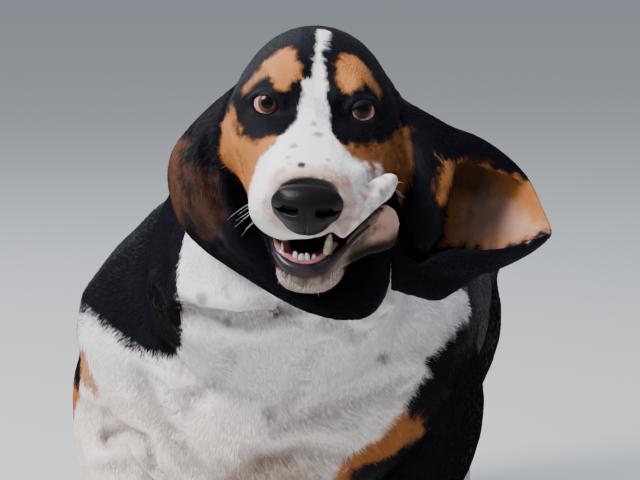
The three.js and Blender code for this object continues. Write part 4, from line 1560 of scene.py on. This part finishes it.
def hair(made, root, way, sag, length, radius, steps=6):
    """Adds one stiff curved hair, in head places, to a bmesh."""
    root, way = Vector(root), Vector(way).normalized()
    path, radii = [], []
    for i in range(steps + 1):
        share = i / steps
        path.append(root + way * (length * share) + Vector((0, 0, -sag * length * share * share)))
        radii.append(radius * (1.0 - 0.8 * share))
    rope(made, path, radii, 4)


# Each pad of whiskers: its middle, which way they point, how many, how long, and its spread
WHISKER_PADS = (
    ((-38, -88, -50), (-0.85, -0.45, -0.35), 7, 16, 7),
    ((55, -62, -36), (0.75, -0.35, 0.1), 4, 14, 3),
)
WHISKER_RADIUS = 0.11
BRISTLE_RADIUS = 0.13

# The row of the chin's bristles, as (x, y, z, how far they stray up and down)
CHIN_BRISTLES = (
    (-19, -86, -100.5, 1.8),
    (-10, -90.5, -103, 1.8),
    (5, -91.5, -105, 1.8),
    (16, -88.5, -101, 2.0),
    (25, -83, -94, 2.2),
)


def whiskers(material):
    """White whiskers on the pads of the muzzle."""
    made = bmesh.new()
    for centre, way, count, length, spread in WHISKER_PADS:
        for _ in range(count):
            root = np.array(centre) + rng.normal(scale=spread * 0.6, size=3) * (1, 0.4, 0.8)
            turn = np.array(way) + rng.normal(scale=0.22, size=3)
            sag = rng.uniform(-0.1, 0.3)
            hair(made, root, turn, sag, length * rng.uniform(0.5, 1.4), WHISKER_RADIUS)
    piece = shown("whiskers", made, material)
    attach(piece, "root")


def chin_bristles(material):
    """Short white bristles on the chin, under the lip."""
    made = bmesh.new()
    for x, y, z, spread in smooth_line(CHIN_BRISTLES, 28):
        root = (x + rng.normal(scale=1.0), y, z + spread * rng.normal())
        way = (rng.normal(scale=0.3) - 0.1, -0.75, -0.65)
        hair(made, root, way, 0.1, rng.uniform(2.5, 4.5), BRISTLE_RADIUS, 2)
    piece = shown("chin_bristles", made, material)
    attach(piece, "root")


# Each paw: its middle on the ground in dog places, its width and how far it turns out
PAWS = (((-96, -98.7), 84, -8), ((96, -6.7), 84, 8), ((-67, 462.6), 72, -4), ((67, 384.6), 72, 4))


def claws():
    """Four dark blunt claws on each paw, where the solids have them."""
    made = bmesh.new()
    to_head = HEAD.inverted() @ DOG
    for (middle_x, middle_y), width, turn in PAWS:
        at = Matrix.Translation((middle_x, middle_y, 0))
        turned_out = at @ Matrix.Rotation(math.radians(turn), 4, "Z")
        for place in (-1.5, -0.5, 0.5, 1.5):
            out = place * width * 0.24
            tip = -width * (0.56 - 0.07 * place * place) - width * 0.24
            line = (
                (out * 1.00, tip + width * 0.10, width * 0.21, 2.4),
                (out * 1.03, tip + width * 0.01, width * 0.17, 2.9),
                (out * 1.05, tip - width * 0.06, width * 0.12, 2.2),
                (out * 1.07, tip - width * 0.11, width * 0.06, 0.9),
            )
            line = smooth_line(line, 3)
            places = [to_head @ turned_out @ Vector(point) for point in line[:, :3]]
            rope(made, places, line[:, 3], 10)
    tones = ((0.020, 0.015, 0.013), (0.06, 0.045, 0.035))
    horn = wet_skin("claw_horn", tones, spots=250.0, edge=0.5, roughness=0.4, gloss=0.1)
    piece = shown("claws", made, horn)
    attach(piece, "root")


studio()
photo_camera()
skin = Skin()
skin_piece = skin.show()
Coat(skin, skin_piece)
for which, shape in EYE_SHAPES.items():
    eye("eyeball_" + which, shape["side"], shape["gaze"], shape["iris"])
lid_tones = ((0.003, 0.0025, 0.0035), (0.008, 0.006, 0.007))
haw_tones = ((0.42, 0.12, 0.12), (0.55, 0.25, 0.23))
lip_tones = ((0.006, 0.004, 0.007), (0.022, 0.013, 0.020))
gum_tones = ((0.50, 0.15, 0.17), (0.24, 0.10, 0.14))
incisor_tones = ((0.46, 0.43, 0.38), (0.66, 0.64, 0.61))
canine_tones = ((0.40, 0.34, 0.20), (0.58, 0.53, 0.36))
lid_skin = wet_skin("lid_skin", lid_tones, spots=260.0, edge=0.5, roughness=0.6, gloss=0.0)
haw_skin = wet_skin("haw_skin", haw_tones, spots=300.0, edge=0.5, roughness=0.25, gloss=0.5)
for which, shape in EYE_SHAPES.items():
    lid_rim("lid_" + which, shape, lid_skin)
for which, shape in EYE_SHAPES.items():
    haw("haw_" + which, shape, haw_skin)
lip_skin = wet_skin("lip_skin", lip_tones, spots=170.0, edge=0.48, roughness=0.4, gloss=0.15)
gum_skin = wet_skin("gum_skin", gum_tones, spots=120.0, edge=0.55, roughness=0.25, gloss=0.5)
mouth_rope("lower_lip", LOWER_LIP, lip_skin)
mouth_rope("lower_gum", LOWER_GUM, gum_skin)
tooth_piece("lower_incisors", incisors(), incisor_tones)
tooth_piece("lower_canines", canines(), canine_tones)
nose_piece()
whisker = surface(
    "whisker", Base_Color=(0.80, 0.79, 0.80, 1.0), Roughness=0.4, Specular_IOR_Level=0.4
)[0]
whiskers(whisker)
chin_bristles(whisker)
claws()
